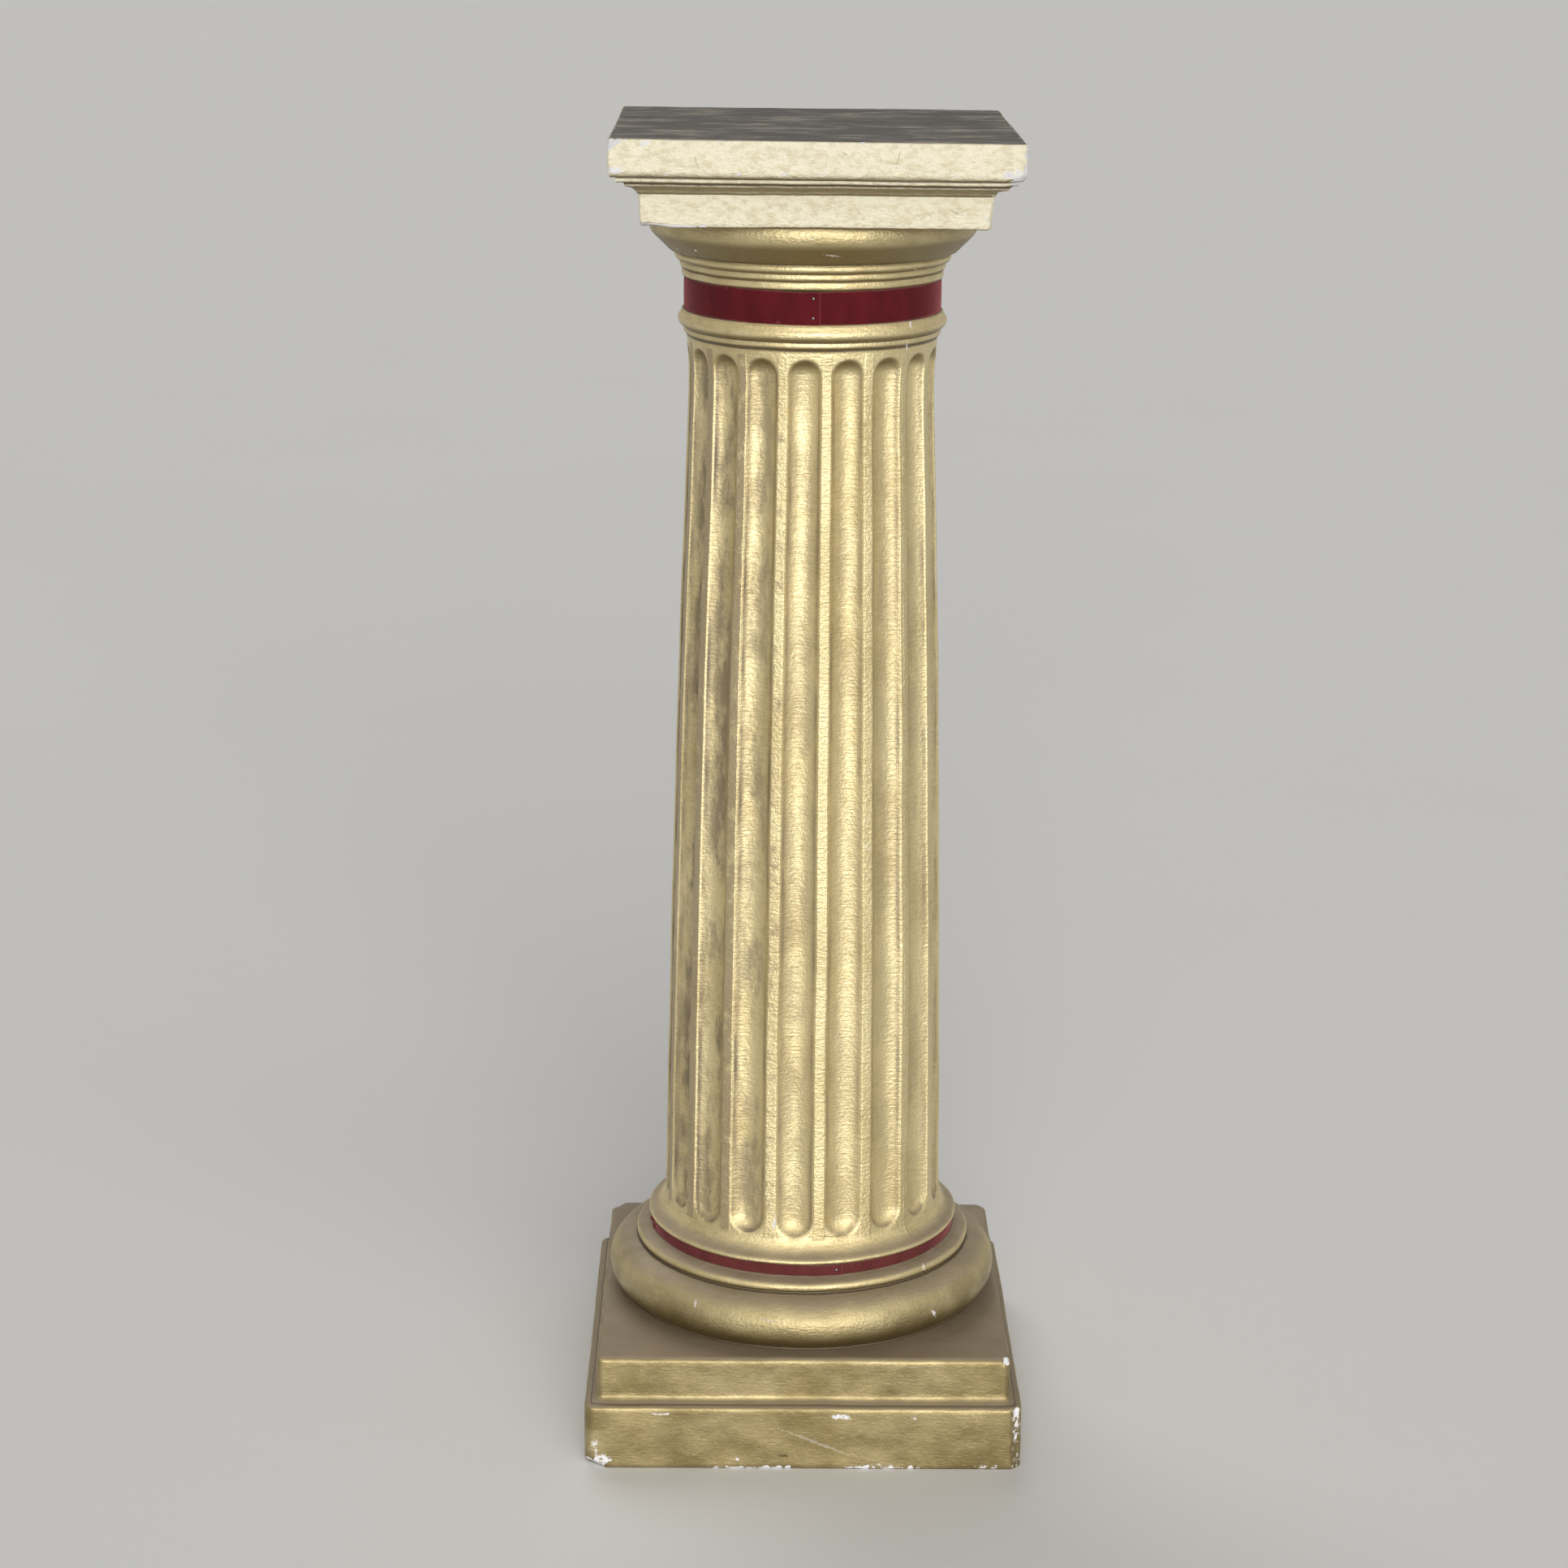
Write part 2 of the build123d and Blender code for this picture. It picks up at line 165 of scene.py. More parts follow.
# Patches of bare plaster on the square faces: place, half sizes and strength
BARE_PATCHES = (
    ((31, -178, 46.5), (11, 3, 2.6), 0.55), ((88, -178, 46.0), (5.5, 3, 2.6), 0.47),
    ((-118, -178, 49.0), (15, 3, 1.6), 0.55), ((-170, -175, 19), (5, 6, 9), 0.51),
    ((-163, -178, 8), (8, 3, 5), 0.55), ((60, -178, 2.5), (40, 3, 2.0), 0.55),
    ((-40, -178, 2), (36, 3, 1.6), 0.51), ((172, -172, 38), (5, 6, 11), 0.47),
    ((150, -178, 3), (16, 3, 2), 0.47), ((166, -167, 92), (4, 5, 4), 0.70),
    ((148, -156, 1044), (10, 4, 4), 0.58), ((-150, -156, 1045), (6, 4, 4), 0.55),
    ((-128, -156, 1064.5), (8, 4, 2.6), 0.51), ((-104, -133, 1001), (18, 3, 2.2), 0.62),
    ((126, -133, 1012), (4, 4, 9), 0.39), ((-150, 178, 40), (12, 4, 9), 0.47),
    ((120, 178, 6), (26, 4, 4), 0.51), ((178, 60, 48), (4, 18, 4), 0.47),
    ((-178, -40, 8), (4, 24, 4), 0.51), ((156, 70, 1046), (4, 16, 4), 0.51),
    ((-60, 156, 1062), (14, 4, 4), 0.47),
)

# Small marks in the paint: place, half sizes, turn in the front plane in degrees, and strength
WHITE_MARKS_AND_GLINT = (
    ((-53, -178, 8.3), (2.4, 4, 1.5), 20, 1.0), ((10, -178, 24), (36, 4, 1.5), 22, 0.22),
    ((-24.5, -112, 189), (1.8, 5, 9.0), 6, 0.8), ((-88.5, -133, 125.6), (1.2, 5, 4.2), 10, 0.6),
    # The thin streak on the torus's upper slope, at (-27, -157, 121.7), is a painted glint, drawn in white
    # along the torus's highlight.
    ((-27, -157, 121.7), (9, 5, 0.5), 12, 0.7), ((107, -121.6, 113.7), (1.6, 6, 6), -20, 0.8),
    ((12.8, -121.3, 978.6), (8, 6, 0.9), 8, 0.5), ((-2.3, -129, 992.2), (1.1, 4, 1.0), 0, 0.9),
    ((-107, -53.7, 974.6), (1.4, 4, 1.1), 0, 0.9), ((-91.8, -78.8, 976.4), (1.3, 4, 1.0), 0, 0.9),
    ((74.6, -72.6, 921), (0.9, 4, 4.5), 0, 0.8), ((77.5, -75.5, 961), (0.8, 5, 4.5), 4, 0.7),
    ((72.5, -70.5, 903), (1.0, 4, 5), -6, 0.7), ((99, -96.5, 143), (1.0, 4, 3.5), 0, 0.8),
    ((29, -104, 470), (1.2, 5, 5), 12, 0.5), ((47, -97, 505), (1.0, 6, 4), -25, 0.4),
)
DARK_MARKS = (
    ((-16, -178, 11.4), (6, 4, 1.8), 0, 0.6), ((24, -115.5, 176.8), (17, 8, 0.45), 4, 0.7),
    ((60, -156, 1055), (0.35, 4, 9), 14, 0.6), ((104, -133, 1013), (4, 4, 0.4), 30, 0.6),
    ((20, -156, 1058), (6, 4, 0.4), 30, 0.5), ((-90, -156, 1050), (0.4, 4, 7), -20, 0.5),
)

# How far the grain pushes a mark's rim about, and the distances where the rim begins and ends
MARK_RAGGEDNESS = 2.6
MARK_RIM = (1.85, 2.2)

# Heights in metres where the painted shade low on the column ends, and where the echinus's darkened throat
# begins, fades and ends; the throat is partly thin brown paint and partly painted shade
LOW_SHADE_HEAD = (0.10, 0.16)
THROAT_FOOT = (0.966, 0.971)
THROAT_FADE = (0.977, 0.996)
THROAT_HEAD = (0.997, 1.0)

# Ribbons
RIBBON_ROWS = 900
RIBBON_COLUMNS = 13
RIBBON_CROWN = 0.12
WALL_GAP = 0.04
NECK_DROOP = 0.7
BASE_DROOP = 0.3
NECK_LAP_AZIMUTH = 2.5
BASE_LAP_AZIMUTH = 14.4
LAP_LENGTH = 22.0
LAP_RAMP = 8.0
LAP_GAP = 0.15
# Bulges of each ribbon: azimuth, place across from -1 to 1, length in degrees, rise outwards and upwards
NECK_TUFTS = (
    (-41.8, 1.1, 2.2, 0.5, 1.3), (-37.5, 1.2, 1.2, 0.6, 0.6), (-15.8, -1.1, 1.9, 0.7, 0.5),
    (-1.4, 1.3, 1.5, 0.3, 0.7),
)
BASE_KNOTS = (
    (-80.0, 0.4, 1.6, 3.2, 0.8), (-77.0, -0.6, 1.0, 2.0, 0.0), (17.9, 0.2, 0.7, 1.3, 0.5),
    (40.0, 1.2, 4.0, 0.3, 0.5),
)

# Pins
PIN_TO_LAP_END = 5.5
PIN_SPACING = 15.1
PIN_LENGTH = 12.0
PIN_POINT = 1.5
PIN_SHANK = 0.4
PIN_HEAD_RIM = 0.12
PIN_HEAD_DOME = 0.95
PIN_HEAD_GAP = 0.15
PIN_STEPS = 28

# Lamps: each name, azimuth, elevation and spread in degrees, and the point that they shine at
LAMPS = (("front", 5, 9, 34), ("key", 15, 33, 60), ("fill", 200, 50, 40))
LAMP_TARGET = (0, 0, 0.55)
LAMP_DISTANCE = 4

# Camera that was fitted to the photograph
CAMERA_PLACE = (-0.0488, -2.7936, 1.2962)
CAMERA_YAW = math.radians(0.614)
CAMERA_PITCH = math.radians(15.334)
CAMERA_ROLL = math.radians(0.566)
CAMERA_LENS = 80.68


def colour_setting(name, description, default):
    """Setting for an opaque colour."""
    return FloatVectorProperty(
        name=name, description=description, default=(*default, 1), size=4, subtype="COLOR"
    )


def length_setting(name, description, default):
    """Setting for a length in metres."""
    return FloatProperty(name=name, description=description, default=default, unit="LENGTH")


def level_setting(name, description, default):
    """Setting for how strong a light is."""
    return FloatProperty(name=name, description=description, default=default)


class CastingSizes(bpy.types.PropertyGroup):
    """Sizes of the flutes and of the casting's unevenness"""

    flute_count: IntProperty(name="Flutes", description="Number of flutes round the shaft", default=18, min=8)
    flute_depth: length_setting("Flute depth", "Depth of a flute below the shaft's round", 0.0078)
    fillet_share: FloatProperty(
        name="Fillet share", description="Share of a flute's pitch left as a flat fillet", default=0.235,
        min=0.05, max=0.6, subtype="FACTOR",
    )
    arris_softness: length_setting("Arris softness", "Rounding where a flute meets its fillet", 0.00022)
    unevenness: length_setting("Unevenness", "How far the cast faces wander from true", 0.0005)
    seam_height: length_setting("Mould line", "Height of the ridge left by the mould's joint", 0.0007)


class PaintColours(bpy.types.PropertyGroup):
    """Colours of the paint, the plaster under it and the dirt on it, and of painted highlight and painted
    shade
    """

    gold: colour_setting("Gold", "Metallic paint", (0.80, 0.675, 0.385))
    # Pale gold is painted highlight: it makes the whole abacus paler, broken into daubs.
    pale: colour_setting("Pale gold", "Thicker, paler paint of the abacus", (1.0, 0.94, 0.73))
    olive: colour_setting("Olive", "Thin or tarnished paint", (0.50, 0.395, 0.185))
    # Aged is painted shade: it darkens the paint towards the bottom, in patches, and on faces that look down.
    aged: colour_setting("Aged", "Darker, duller paint low on the column", (0.20, 0.148, 0.056))
    # Smudge is partly dirt and partly painted shade along the flutes' flanks and on the shaded left side.
    smudge: colour_setting("Smudge", "Dark smears in the flutes", (0.15, 0.105, 0.068))
    worn: colour_setting("Worn", "Paint rubbed to a tan ground", (0.33, 0.24, 0.155))
    dust: colour_setting("Dust", "Dust on upward faces", (0.25, 0.195, 0.135))
    pale_dust: colour_setting("Pale dust", "Dust where it lies thicker", (0.34, 0.27, 0.195))
    # Grime is partly dark marks in the paint and partly painted shade in the creases.
    grime: colour_setting("Grime", "Dirt in creases", (0.07, 0.045, 0.02))
    plaster: colour_setting("Plaster", "Bare plaster in chips", (0.80, 0.78, 0.80))
    slab_top: colour_setting("Slab top", "Dull top face of the slab", (0.07, 0.062, 0.05))
    top_streak: colour_setting("Top streaks", "Light streaks on the slab's top", (0.33, 0.29, 0.225))
    top_stain: colour_setting("Top stains", "Brown stains on the slab's top", (0.045, 0.034, 0.02))


class RibbonLooks(bpy.types.PropertyGroup):
    """Sizes and colours of the ribbons and their pins"""

    neck_width: length_setting("Neck ribbon", "Width of the ribbon round the neck", 0.0256)
    base_width: length_setting("Base ribbon", "Width of the ribbon round the base", 0.0094)
    thickness: length_setting("Thickness", "Thickness of the velvet", 0.0008)
    pin_radius: length_setting("Pin head", "Radius of a pin's head", 0.0013)
    crimson: colour_setting("Crimson", "Velvet pile", (0.11, 0.0072, 0.0115))
    dusty_crimson: colour_setting("Dusty crimson", "Pile of the base ribbon", (0.15, 0.033, 0.033))
    backing: colour_setting("Backing", "Cut edges and frays", (0.27, 0.05, 0.065))
    lint: colour_setting("Lint", "Dust and lint on the pile", (0.34, 0.20, 0.19))
    sheen: colour_setting("Sheen", "Tint of the light that the pile's tips catch", (0.75, 0.25, 0.27))
    pin_steel: colour_setting("Pin steel", "Dark steel of the pin heads", (0.30, 0.27, 0.28))


class StageLooks(bpy.types.PropertyGroup):
    """Floor and lamps"""

    floor: colour_setting("Floor", "Pale floor", (0.85, 0.85, 0.84))
    backdrop: colour_setting("Backdrop", "Tint of the world", (1.0, 0.995, 0.985))
    lamplight: colour_setting("Lamplight", "Tint of the lamps", (1.0, 0.985, 0.96))
    world_level: level_setting("World level", "Level of the soft light all round", 0.15)
    backdrop_level: level_setting("Backdrop level", "Level of the world as it is seen", 0.42)
    key_level: level_setting("Key level", "Level of the wide lamp in front, to the right", 0.85)
    fill_level: level_setting("Fill level", "Level of the wide lamp behind", 0.8)
    front_level: level_setting("Front level", "Level of the wide lamp near the camera", 2.5)


def smooth_step(value, low, high):
    """0 below low, 1 above high and a smooth rise between."""
    share = np.clip((value - low) / (high - low), 0, 1)
    return share * share * (3 - 2 * share)


def lattice_noise(points, size, seed):
    """Noise from -1 to 1: random numbers on a cubic lattice of that spacing, smoothly blended in between."""
    period = 32
    lattice = np.random.default_rng(seed).uniform(-1, 1, (period,) * 3)
    scaled = points / size
    cell = np.floor(scaled).astype(int)
    share = scaled - cell
    share = share * share * (3 - 2 * share)
    total = np.zeros(len(points))
    for corner in np.ndindex(2, 2, 2):
        at = (cell + corner) % period
        weight = np.prod(np.where(corner, share, 1 - share), axis=1)
        total += weight * lattice[at[:, 0], at[:, 1], at[:, 2]]
    return total


def run(start, end, count):
    """Evenly spaced points of a straight run, without its end."""
    return np.linspace(start, end, count, endpoint=False)


def arc(foot, nose, head, count):
    """Evenly spaced points of the circle through three points, without its end.
    The centre is as far from the first point as from each of the others."""
    foot, nose, head = (np.array(point, float) for point in (foot, nose, head))
    chords = 2 * np.array([nose - foot, head - foot])
    centre = np.linalg.solve(chords, [nose @ nose - foot @ foot, head @ head - foot @ foot])
    angles = [math.atan2(*(point - centre)[::-1]) for point in (foot, nose, head)]
    to_nose = (angles[1] - angles[0]) % math.tau
    to_head = (angles[2] - angles[0]) % math.tau
    sweep = to_head if to_nose < to_head else to_head - math.tau
    turned = angles[0] + run(0, sweep, count)
    radius = np.linalg.norm(foot - centre)
    return centre + radius * np.stack([np.cos(turned), np.sin(turned)], axis=1)


def rounded_arris(half, height, radius, count):
    """Points of the quarter round that takes the upper arris off a wall, without its end."""
    inset = radius * (1 - math.sqrt(0.5))
    return arc((half, height - radius), (half - inset, height - inset), (half - radius, height), count)


def plinth_section():
    """Half section of the plinth, from its underside out and up to the edge of its top face."""
    wall = FOOT_HALF - FOOT_UNDER_ARRIS
    under = FOOT_UNDER_ARRIS * (1 - math.sqrt(0.5))
    return np.concatenate([
        run((40.0, 0), (wall - 16, 0), 3),
        run((wall - 16, 0), (wall, 0), 4),
        arc((wall, 0), (FOOT_HALF - under, under), (FOOT_HALF, FOOT_UNDER_ARRIS), 3),
        run((FOOT_HALF, FOOT_UNDER_ARRIS), (FOOT_HALF, FOOT_TOP - FOOT_ARRIS), 17),
        rounded_arris(FOOT_HALF, FOOT_TOP, FOOT_ARRIS, 4),
        run((FOOT_HALF - FOOT_ARRIS, FOOT_TOP), (SPLAY[0][0] + 0.3, FOOT_TOP), 2),
        [(SPLAY[0][0] + 0.3, FOOT_TOP)],
        arc(*SPLAY, 5),
        run(SPLAY[2], (UPPER_HALF, UPPER_TOP - UPPER_ARRIS), 9),
        rounded_arris(UPPER_HALF, UPPER_TOP, UPPER_ARRIS, 5),
        [(UPPER_HALF - UPPER_ARRIS, UPPER_TOP)],
    ])


def shaft_radius(height):
    """Radius of the shaft: the parabola through its foot, middle and neck, and a smooth flare at its top."""
    points = np.array([APOPHYGE[2], SHAFT_MIDDLE, SHAFT_NECK])
    curve = np.polyfit(points[:, 1], points[:, 0], 2)
    rise = smooth_step(height, SHAFT_NECK[1], SHAFT_TOP[1] + 6)
    flare = SHAFT_NECK[0] + (SHAFT_TOP[0] - SHAFT_NECK[0]) * rise
    return np.where(height < SHAFT_NECK[1], np.polyval(curve, height), flare)


def turned_section():
    """Half section of the turned part, from the foot of the torus to the head of the echinus."""
    end_rows = 21.0
    heights = np.concatenate([
        np.arange(APOPHYGE[2][1], FLUTE_FOOT + end_rows, 1.5),
        run(FLUTE_FOOT + end_rows + 1.5, FLUTE_HEAD - end_rows + 2, 32),
        np.arange(FLUTE_HEAD - end_rows + 2, FLUTE_HEAD + 3, 1.5),
    ])
    shaft = np.stack([shaft_radius(heights), heights], axis=1)
    flute_end = (shaft_radius(FLUTE_HEAD + 3), FLUTE_HEAD + 3)
    return np.concatenate([
        arc(*TORUS_FILLET, 4),
        arc(*TORUS, 16),
        [(TORUS[2][0] - 2.6, TORUS[2][1] + 0.2)],
        arc(*BASE_RING, 7),
        run(BASE_RING[2], BASE_WALL[0], 3),
        BASE_WALL,
        arc(*BASE_FILLET, 5),
        arc(*APOPHYGE, 8),
        shaft,
        run(flute_end, SHAFT_TOP, 2),
        [SHAFT_TOP],
        arc(*SHAFT_FILLET, 4),
        arc(*ASTRAGAL, 9),
        NECK_LIP,
        NECK_WALL,
        NECK_FILLET,
        arc(*LOWER_ANNULET, 5),
        arc(*UPPER_ANNULET, 7),
        [UPPER_ANNULET[2]],
        run(ECHINUS_FOOT, ECHINUS[0], 7),
        arc(*ECHINUS, 11),
        run(ECHINUS[2], (BLOCK_GROOVE, BLOCK_FOOT[1] - 0.3), 2),
        [(BLOCK_GROOVE, BLOCK_FOOT[1] - 0.3)],
    ])


def abacus_section():
    """Half section of the abacus, from the lower arris of its block to its top face."""
    slab_head = COLUMN_HEIGHT - SLAB_ARRIS
    return np.concatenate([
        [(BLOCK_FOOT[0] - 1.2, BLOCK_FOOT[1]), (BLOCK_FOOT[0] - 0.4, BLOCK_FOOT[1] + 0.3)],
        run((BLOCK_FOOT[0], BLOCK_FOOT[1] + 1.2), (BLOCK_HEAD[0], BLOCK_HEAD[1] - 0.8), 9),
        [(BLOCK_HEAD[0], BLOCK_HEAD[1] - 0.8), (BLOCK_HEAD[0] - 0.4, BLOCK_HEAD[1])],
        arc((BLOCK_HEAD[0] + 0.6, BLOCK_HEAD[1] + 0.1), COVE_HOLLOW, COVE_HEAD, 6),
        [COVE_HEAD, *LOW_FILLET, FILLET_GROOVE, (HIGH_FILLET[0][0] - 1, FILLET_GROOVE[1] + 0.3)],
        [*HIGH_FILLET, SLAB_GROOVE],
        run(SLAB_BED, (SLAB_HALF, SLAB_FOOT), 2),
        run((SLAB_HALF, SLAB_FOOT), (SLAB_HALF, slab_head), 10),
        rounded_arris(SLAB_HALF, COLUMN_HEIGHT, SLAB_ARRIS, 4),
        [(SLAB_HALF - SLAB_ARRIS, COLUMN_HEIGHT)],
    ])


def bend_of(section, reach):
    """How hollow (positive) or how sharp (negative) a section is at each point.
    It is the distance, along the outward normal, to the mean of the section within the reach."""
    steps = np.linalg.norm(np.diff(section, axis=0), axis=1)
    along = np.concatenate([[0], np.cumsum(steps)])
    fine = np.arange(0, along[-1], reach / 16)
    line = np.stack([np.interp(fine, along, section[:, axis]) for axis in (0, 1)], axis=1)
    weight = np.exp(-(((along[:, None] - fine[None]) / reach) ** 2))
    mean = (weight @ line) / weight.sum(axis=1, keepdims=True)
    way = np.gradient(section, axis=0)
    outward = np.stack([way[:, 1], -way[:, 0]], axis=1)
    outward /= np.linalg.norm(outward, axis=1, keepdims=True)
    return np.sum((mean - section) * outward, axis=1)


def square_plan():
    """Points round a square with round corners, as a place on the square and an outward direction.
    A ring is the place times the half width less the corner radius, plus the direction times that radius.
    The front has the most points, and they lie closer together towards the corners."""
    front, other, bend = 112, 66, 8
    places, ways = [], []
    for side, count in enumerate((front, other, other, other)):
        share = np.linspace(-1, 1, count)
        share = 0.72 * share + 0.28 * np.sin(share * math.pi / 2)
        flat = np.stack([share, np.full(count, -1.0)], axis=1)
        turn = np.linspace(0, math.pi / 2, bend + 2)[1:-1]
        corner = np.tile([1.0, -1.0], (bend, 1))
        down = np.tile([0.0, -1.0], (count, 1))
        swing = np.stack([np.sin(turn), -np.cos(turn)], axis=1)
        quarter = np.linalg.matrix_power(np.array([[0, -1], [1, 0]]), side)
        places.append(np.concatenate([flat, corner]) @ quarter.T)
        ways.append(np.concatenate([down, swing]) @ quarter.T)
    place, way = np.concatenate(places), np.concatenate(ways)
    outline = place + 0.02 * way
    azimuth = np.degrees(np.arctan2(outline[:, 0], -outline[:, 1])) % 360
    order = np.argsort(azimuth, kind="stable")
    return place[order], way[order], azimuth[order]


def square_rings(section, corner_radius):
    """Rings of a square moulding: each section point gives a half width and a height.
    The corner radius shrinks as the section steps in, as a rounded block's does."""
    place, way, _ = square_plan()
    half = section[:, 0, None, None]
    radius = np.clip(corner_radius - (section[:, 0].max() - half), 0.4, None)
    flat = (half - radius) * place[None] + radius * way[None]
    height = np.broadcast_to(section[:, 1, None, None], flat.shape[:2] + (1,))
    return np.concatenate([flat, height], axis=2)


def round_rings(section, azimuth):
    """Rings of a turned moulding at the given azimuths."""
    angle = np.radians(azimuth)[None]
    radius = section[:, 0, None]
    height = np.broadcast_to(section[:, 1, None], (len(section), angle.size))
    return np.stack([radius * np.sin(angle), -radius * np.cos(angle), height], axis=2)


def between_rings(first, last, shares):
    """Rings part of the way from one ring to another."""
    share = np.array(shares)[:, None, None]
    return first[None] * (1 - share) + last[None] * share


def shaft_azimuths(sizes):
    """Azimuths of the turned part's columns: the same few about every fillet, closest at the arrises,
    and two more beside each mould line."""
    pitch = 360 / sizes.flute_count
    half_fillet = pitch * sizes.fillet_share / 2
    side = np.array([0.5, 0.8, 0.96, 1.1, 1.35, 1.8, 2.35, 3.0, 3.6]) * half_fillet
    about = np.concatenate([-side[::-1], [0], side, [pitch / 2]])
    middle = FILLET_AZIMUTH + pitch * np.arange(sizes.flute_count)
    seam = np.array(SEAM_AZIMUTHS)
    beside = 0.35
    every = np.concatenate([(middle[:, None] + about[None]).ravel(), seam - beside, seam + beside])
    return np.sort(every % 360)


def flute_depths(sizes, radius, height, azimuth):
    """Depth of the flutes below a round of the given radius, softened at the arrises.
    A flute is a round hollow whose centre lies outside the shaft. Its radius and centre make it meet
    both arrises at the set depth, and past the centres of its ends it closes as a ball does."""
    pitch = 360 / sizes.flute_count
    half = math.radians(pitch * (1 - sizes.fillet_share) / 2)
    foot = FLUTE_FOOT + APOPHYGE[2][0] * math.sin(half)
    head = FLUTE_HEAD - SHAFT_NECK[0] * math.sin(half)
    level = np.clip(height, foot, head)
    shaft = shaft_radius(level)
    chord, reach = shaft * math.sin(half), shaft * math.cos(half)
    depth = sizes.flute_depth / MM - shaft + reach
    hollow = (chord**2 + depth**2) / (2 * depth)
    centre = reach + hollow - depth
    off = np.radians((azimuth - FILLET_AZIMUTH) % pitch - pitch / 2)
    inside = hollow**2 - (height - level) ** 2 - (centre * np.sin(off)) ** 2
    cut = radius - centre * np.cos(off) + np.sign(inside) * np.sqrt(np.abs(inside))
    soft = sizes.arris_softness / MM
    return (cut + np.sqrt(cut**2 + 4 * soft**2)) / 2


def ring_faces(rows, columns, first):
    """Quads between neighbouring rings, each closed on itself."""
    index = first + np.arange(rows * columns).reshape(rows, columns)
    beside = np.roll(index, -1, axis=1)
    return np.stack([index[:-1], beside[:-1], beside[1:], index[1:]], axis=-1).reshape(-1, 4)


def zipped_faces(lower_azimuth, lower_first, upper_azimuth, upper_first):
    """Triangles between two rings that are divided differently.
    Going round, each point of either ring closes one triangle with the point that the other has reached."""
    count, other = len(lower_azimuth), len(upper_azimuth)
    order = np.argsort(np.concatenate([lower_azimuth, upper_azimuth]), kind="stable")
    is_lower = order < count
    at_lower = (np.cumsum(is_lower) - 1) % count
    at_upper = (np.cumsum(~is_lower) - 1) % other
    on_lower = [lower_first + (at_lower - 1) % count, lower_first + at_lower, upper_first + at_upper]
    on_upper = [lower_first + at_lower, upper_first + at_upper, upper_first + (at_upper - 1) % other]
    return np.where(is_lower[:, None], np.stack(on_lower, axis=1), np.stack(on_upper, axis=1))


def fan_faces(ring, pole, upwards):
    """Triangles between a ring and one point, facing up or down."""
    beside = np.roll(ring, -1)
    ends = (ring, beside) if upwards else (beside, ring)
    return np.stack([*ends, np.full(len(ring), pole)], axis=1)


def write_mesh(name, points, faces, attributes, material):
    """Makes an object at the origin from points in millimetres, and smooths its shading."""
    mesh = bpy.data.meshes.new(name)
    mesh.from_pydata((points * MM).tolist(), [], [face for part in faces for face in part.tolist()])
    for label, values in attributes.items():
        mesh.attributes.new(label, "FLOAT", "POINT").data.foreach_set("value", np.asarray(values, np.float32))
    mesh.shade_smooth()
    mesh.materials.append(material)
    if mesh.validate():
        raise RuntimeError(f"{name}: the mesh had faults that had to be mended")
    made = bpy.data.objects.new(name, mesh)
    bpy.context.scene.collection.objects.link(made)
    return made


def knock_off(points, bare, corner, reach, whiteness, seed):
    """Moves what lies beyond a break's plane onto it, roughened, and marks it as bare plaster.
    Only points within the break's reach along each axis move."""
    outward = 1 / np.array(reach)
    outward /= np.linalg.norm(outward)
    beyond = (points - (np.array(corner) - [reach[0], 0, 0])) @ outward
    span = np.minimum(np.abs(reach), 60) * 1.1 + 1.5
    within = (1 - smooth_step(np.abs(points - corner) / span, 0.85, 1.0)).prod(axis=1)
    rough = 0.35 * lattice_noise(points, 2.2, seed) + 0.6 * lattice_noise(points, 6.0, seed + 1)
    cut = ((beyond + rough) * within).clip(0, None)
    points -= cut[:, None] * outward
    np.maximum(bare, whiteness * smooth_step(cut, 0.15, 0.8), out=bare)


def nick_edge(points, bare, start, end, count, size, inward, seed):
    """Presses smooth hollows into the surface at random places along an edge, and marks them as bare."""
    random = np.random.default_rng(seed)
    inward = np.array(inward) / np.linalg.norm(inward)
    for place, scale in zip(random.random(count), random.uniform(0.4, 1, count)):
        centre = np.array(start) * (1 - place) + np.array(end) * place
        apart = np.linalg.norm(points - centre, axis=1) / (size * scale)
        share = np.clip(1 - apart**2, 0, 1) ** 2
        points += (share * 0.3 * size * scale)[:, None] * inward
        np.maximum(bare, smooth_step(share, 0.08, 0.4), out=bare)


def chip_casting(points, bare):
    """Breaks the corners and nicks the edges that are chipped."""
    for number, (corner, reach, whiteness) in enumerate(BREAKS):
        knock_off(points, bare, corner, reach, whiteness, 40 + 2 * number)
    for number, edge in enumerate(NICKED_EDGES):
        nick_edge(points, bare, *edge, number)
    for centre, sizes, strength in BARE_PATCHES:
        apart = np.linalg.norm((points - centre) / sizes, axis=1)
        np.maximum(bare, strength * (1 - smooth_step(apart, 0.7, 1.6)), out=bare)


def plinth_rings(azimuth):
    """Section and rings of the plinth, from its underside out, up and in to the foot of the torus."""
    line = plinth_section()
    rings = square_rings(line, FOOT_CORNER)
    upper = line[:, 1] > FOOT_TOP + 0.1
    rings[upper] = square_rings(line[upper], UPPER_CORNER + SPLAY[0][0] - UPPER_HALF)
    torus_foot = round_rings(np.array([(TORUS_FILLET[0][0] + 0.8, UPPER_TOP)]), azimuth)[0]
    return line, np.concatenate([rings, between_rings(rings[-1], torus_foot, PLINTH_TOP_RINGS)])


def fluted_rings(sizes, azimuth):
    """Section and rings of the turned part, and how deep a flute is at each of their points."""
    line = turned_section()
    height = line[:, 1, None] + 0 * azimuth[None]
    around = azimuth[None] + 0 * height
    shaft = (height > APOPHYGE[1][1]) & (height < SHAFT_TOP[1])
    depth = np.where(shaft, flute_depths(sizes, line[:, 0, None], height, around), 0)
    outward = np.stack([np.sin(np.radians(around)), -np.cos(np.radians(around)), 0 * around], axis=2)
    return line, round_rings(line, azimuth) - depth[:, :, None] * outward, depth


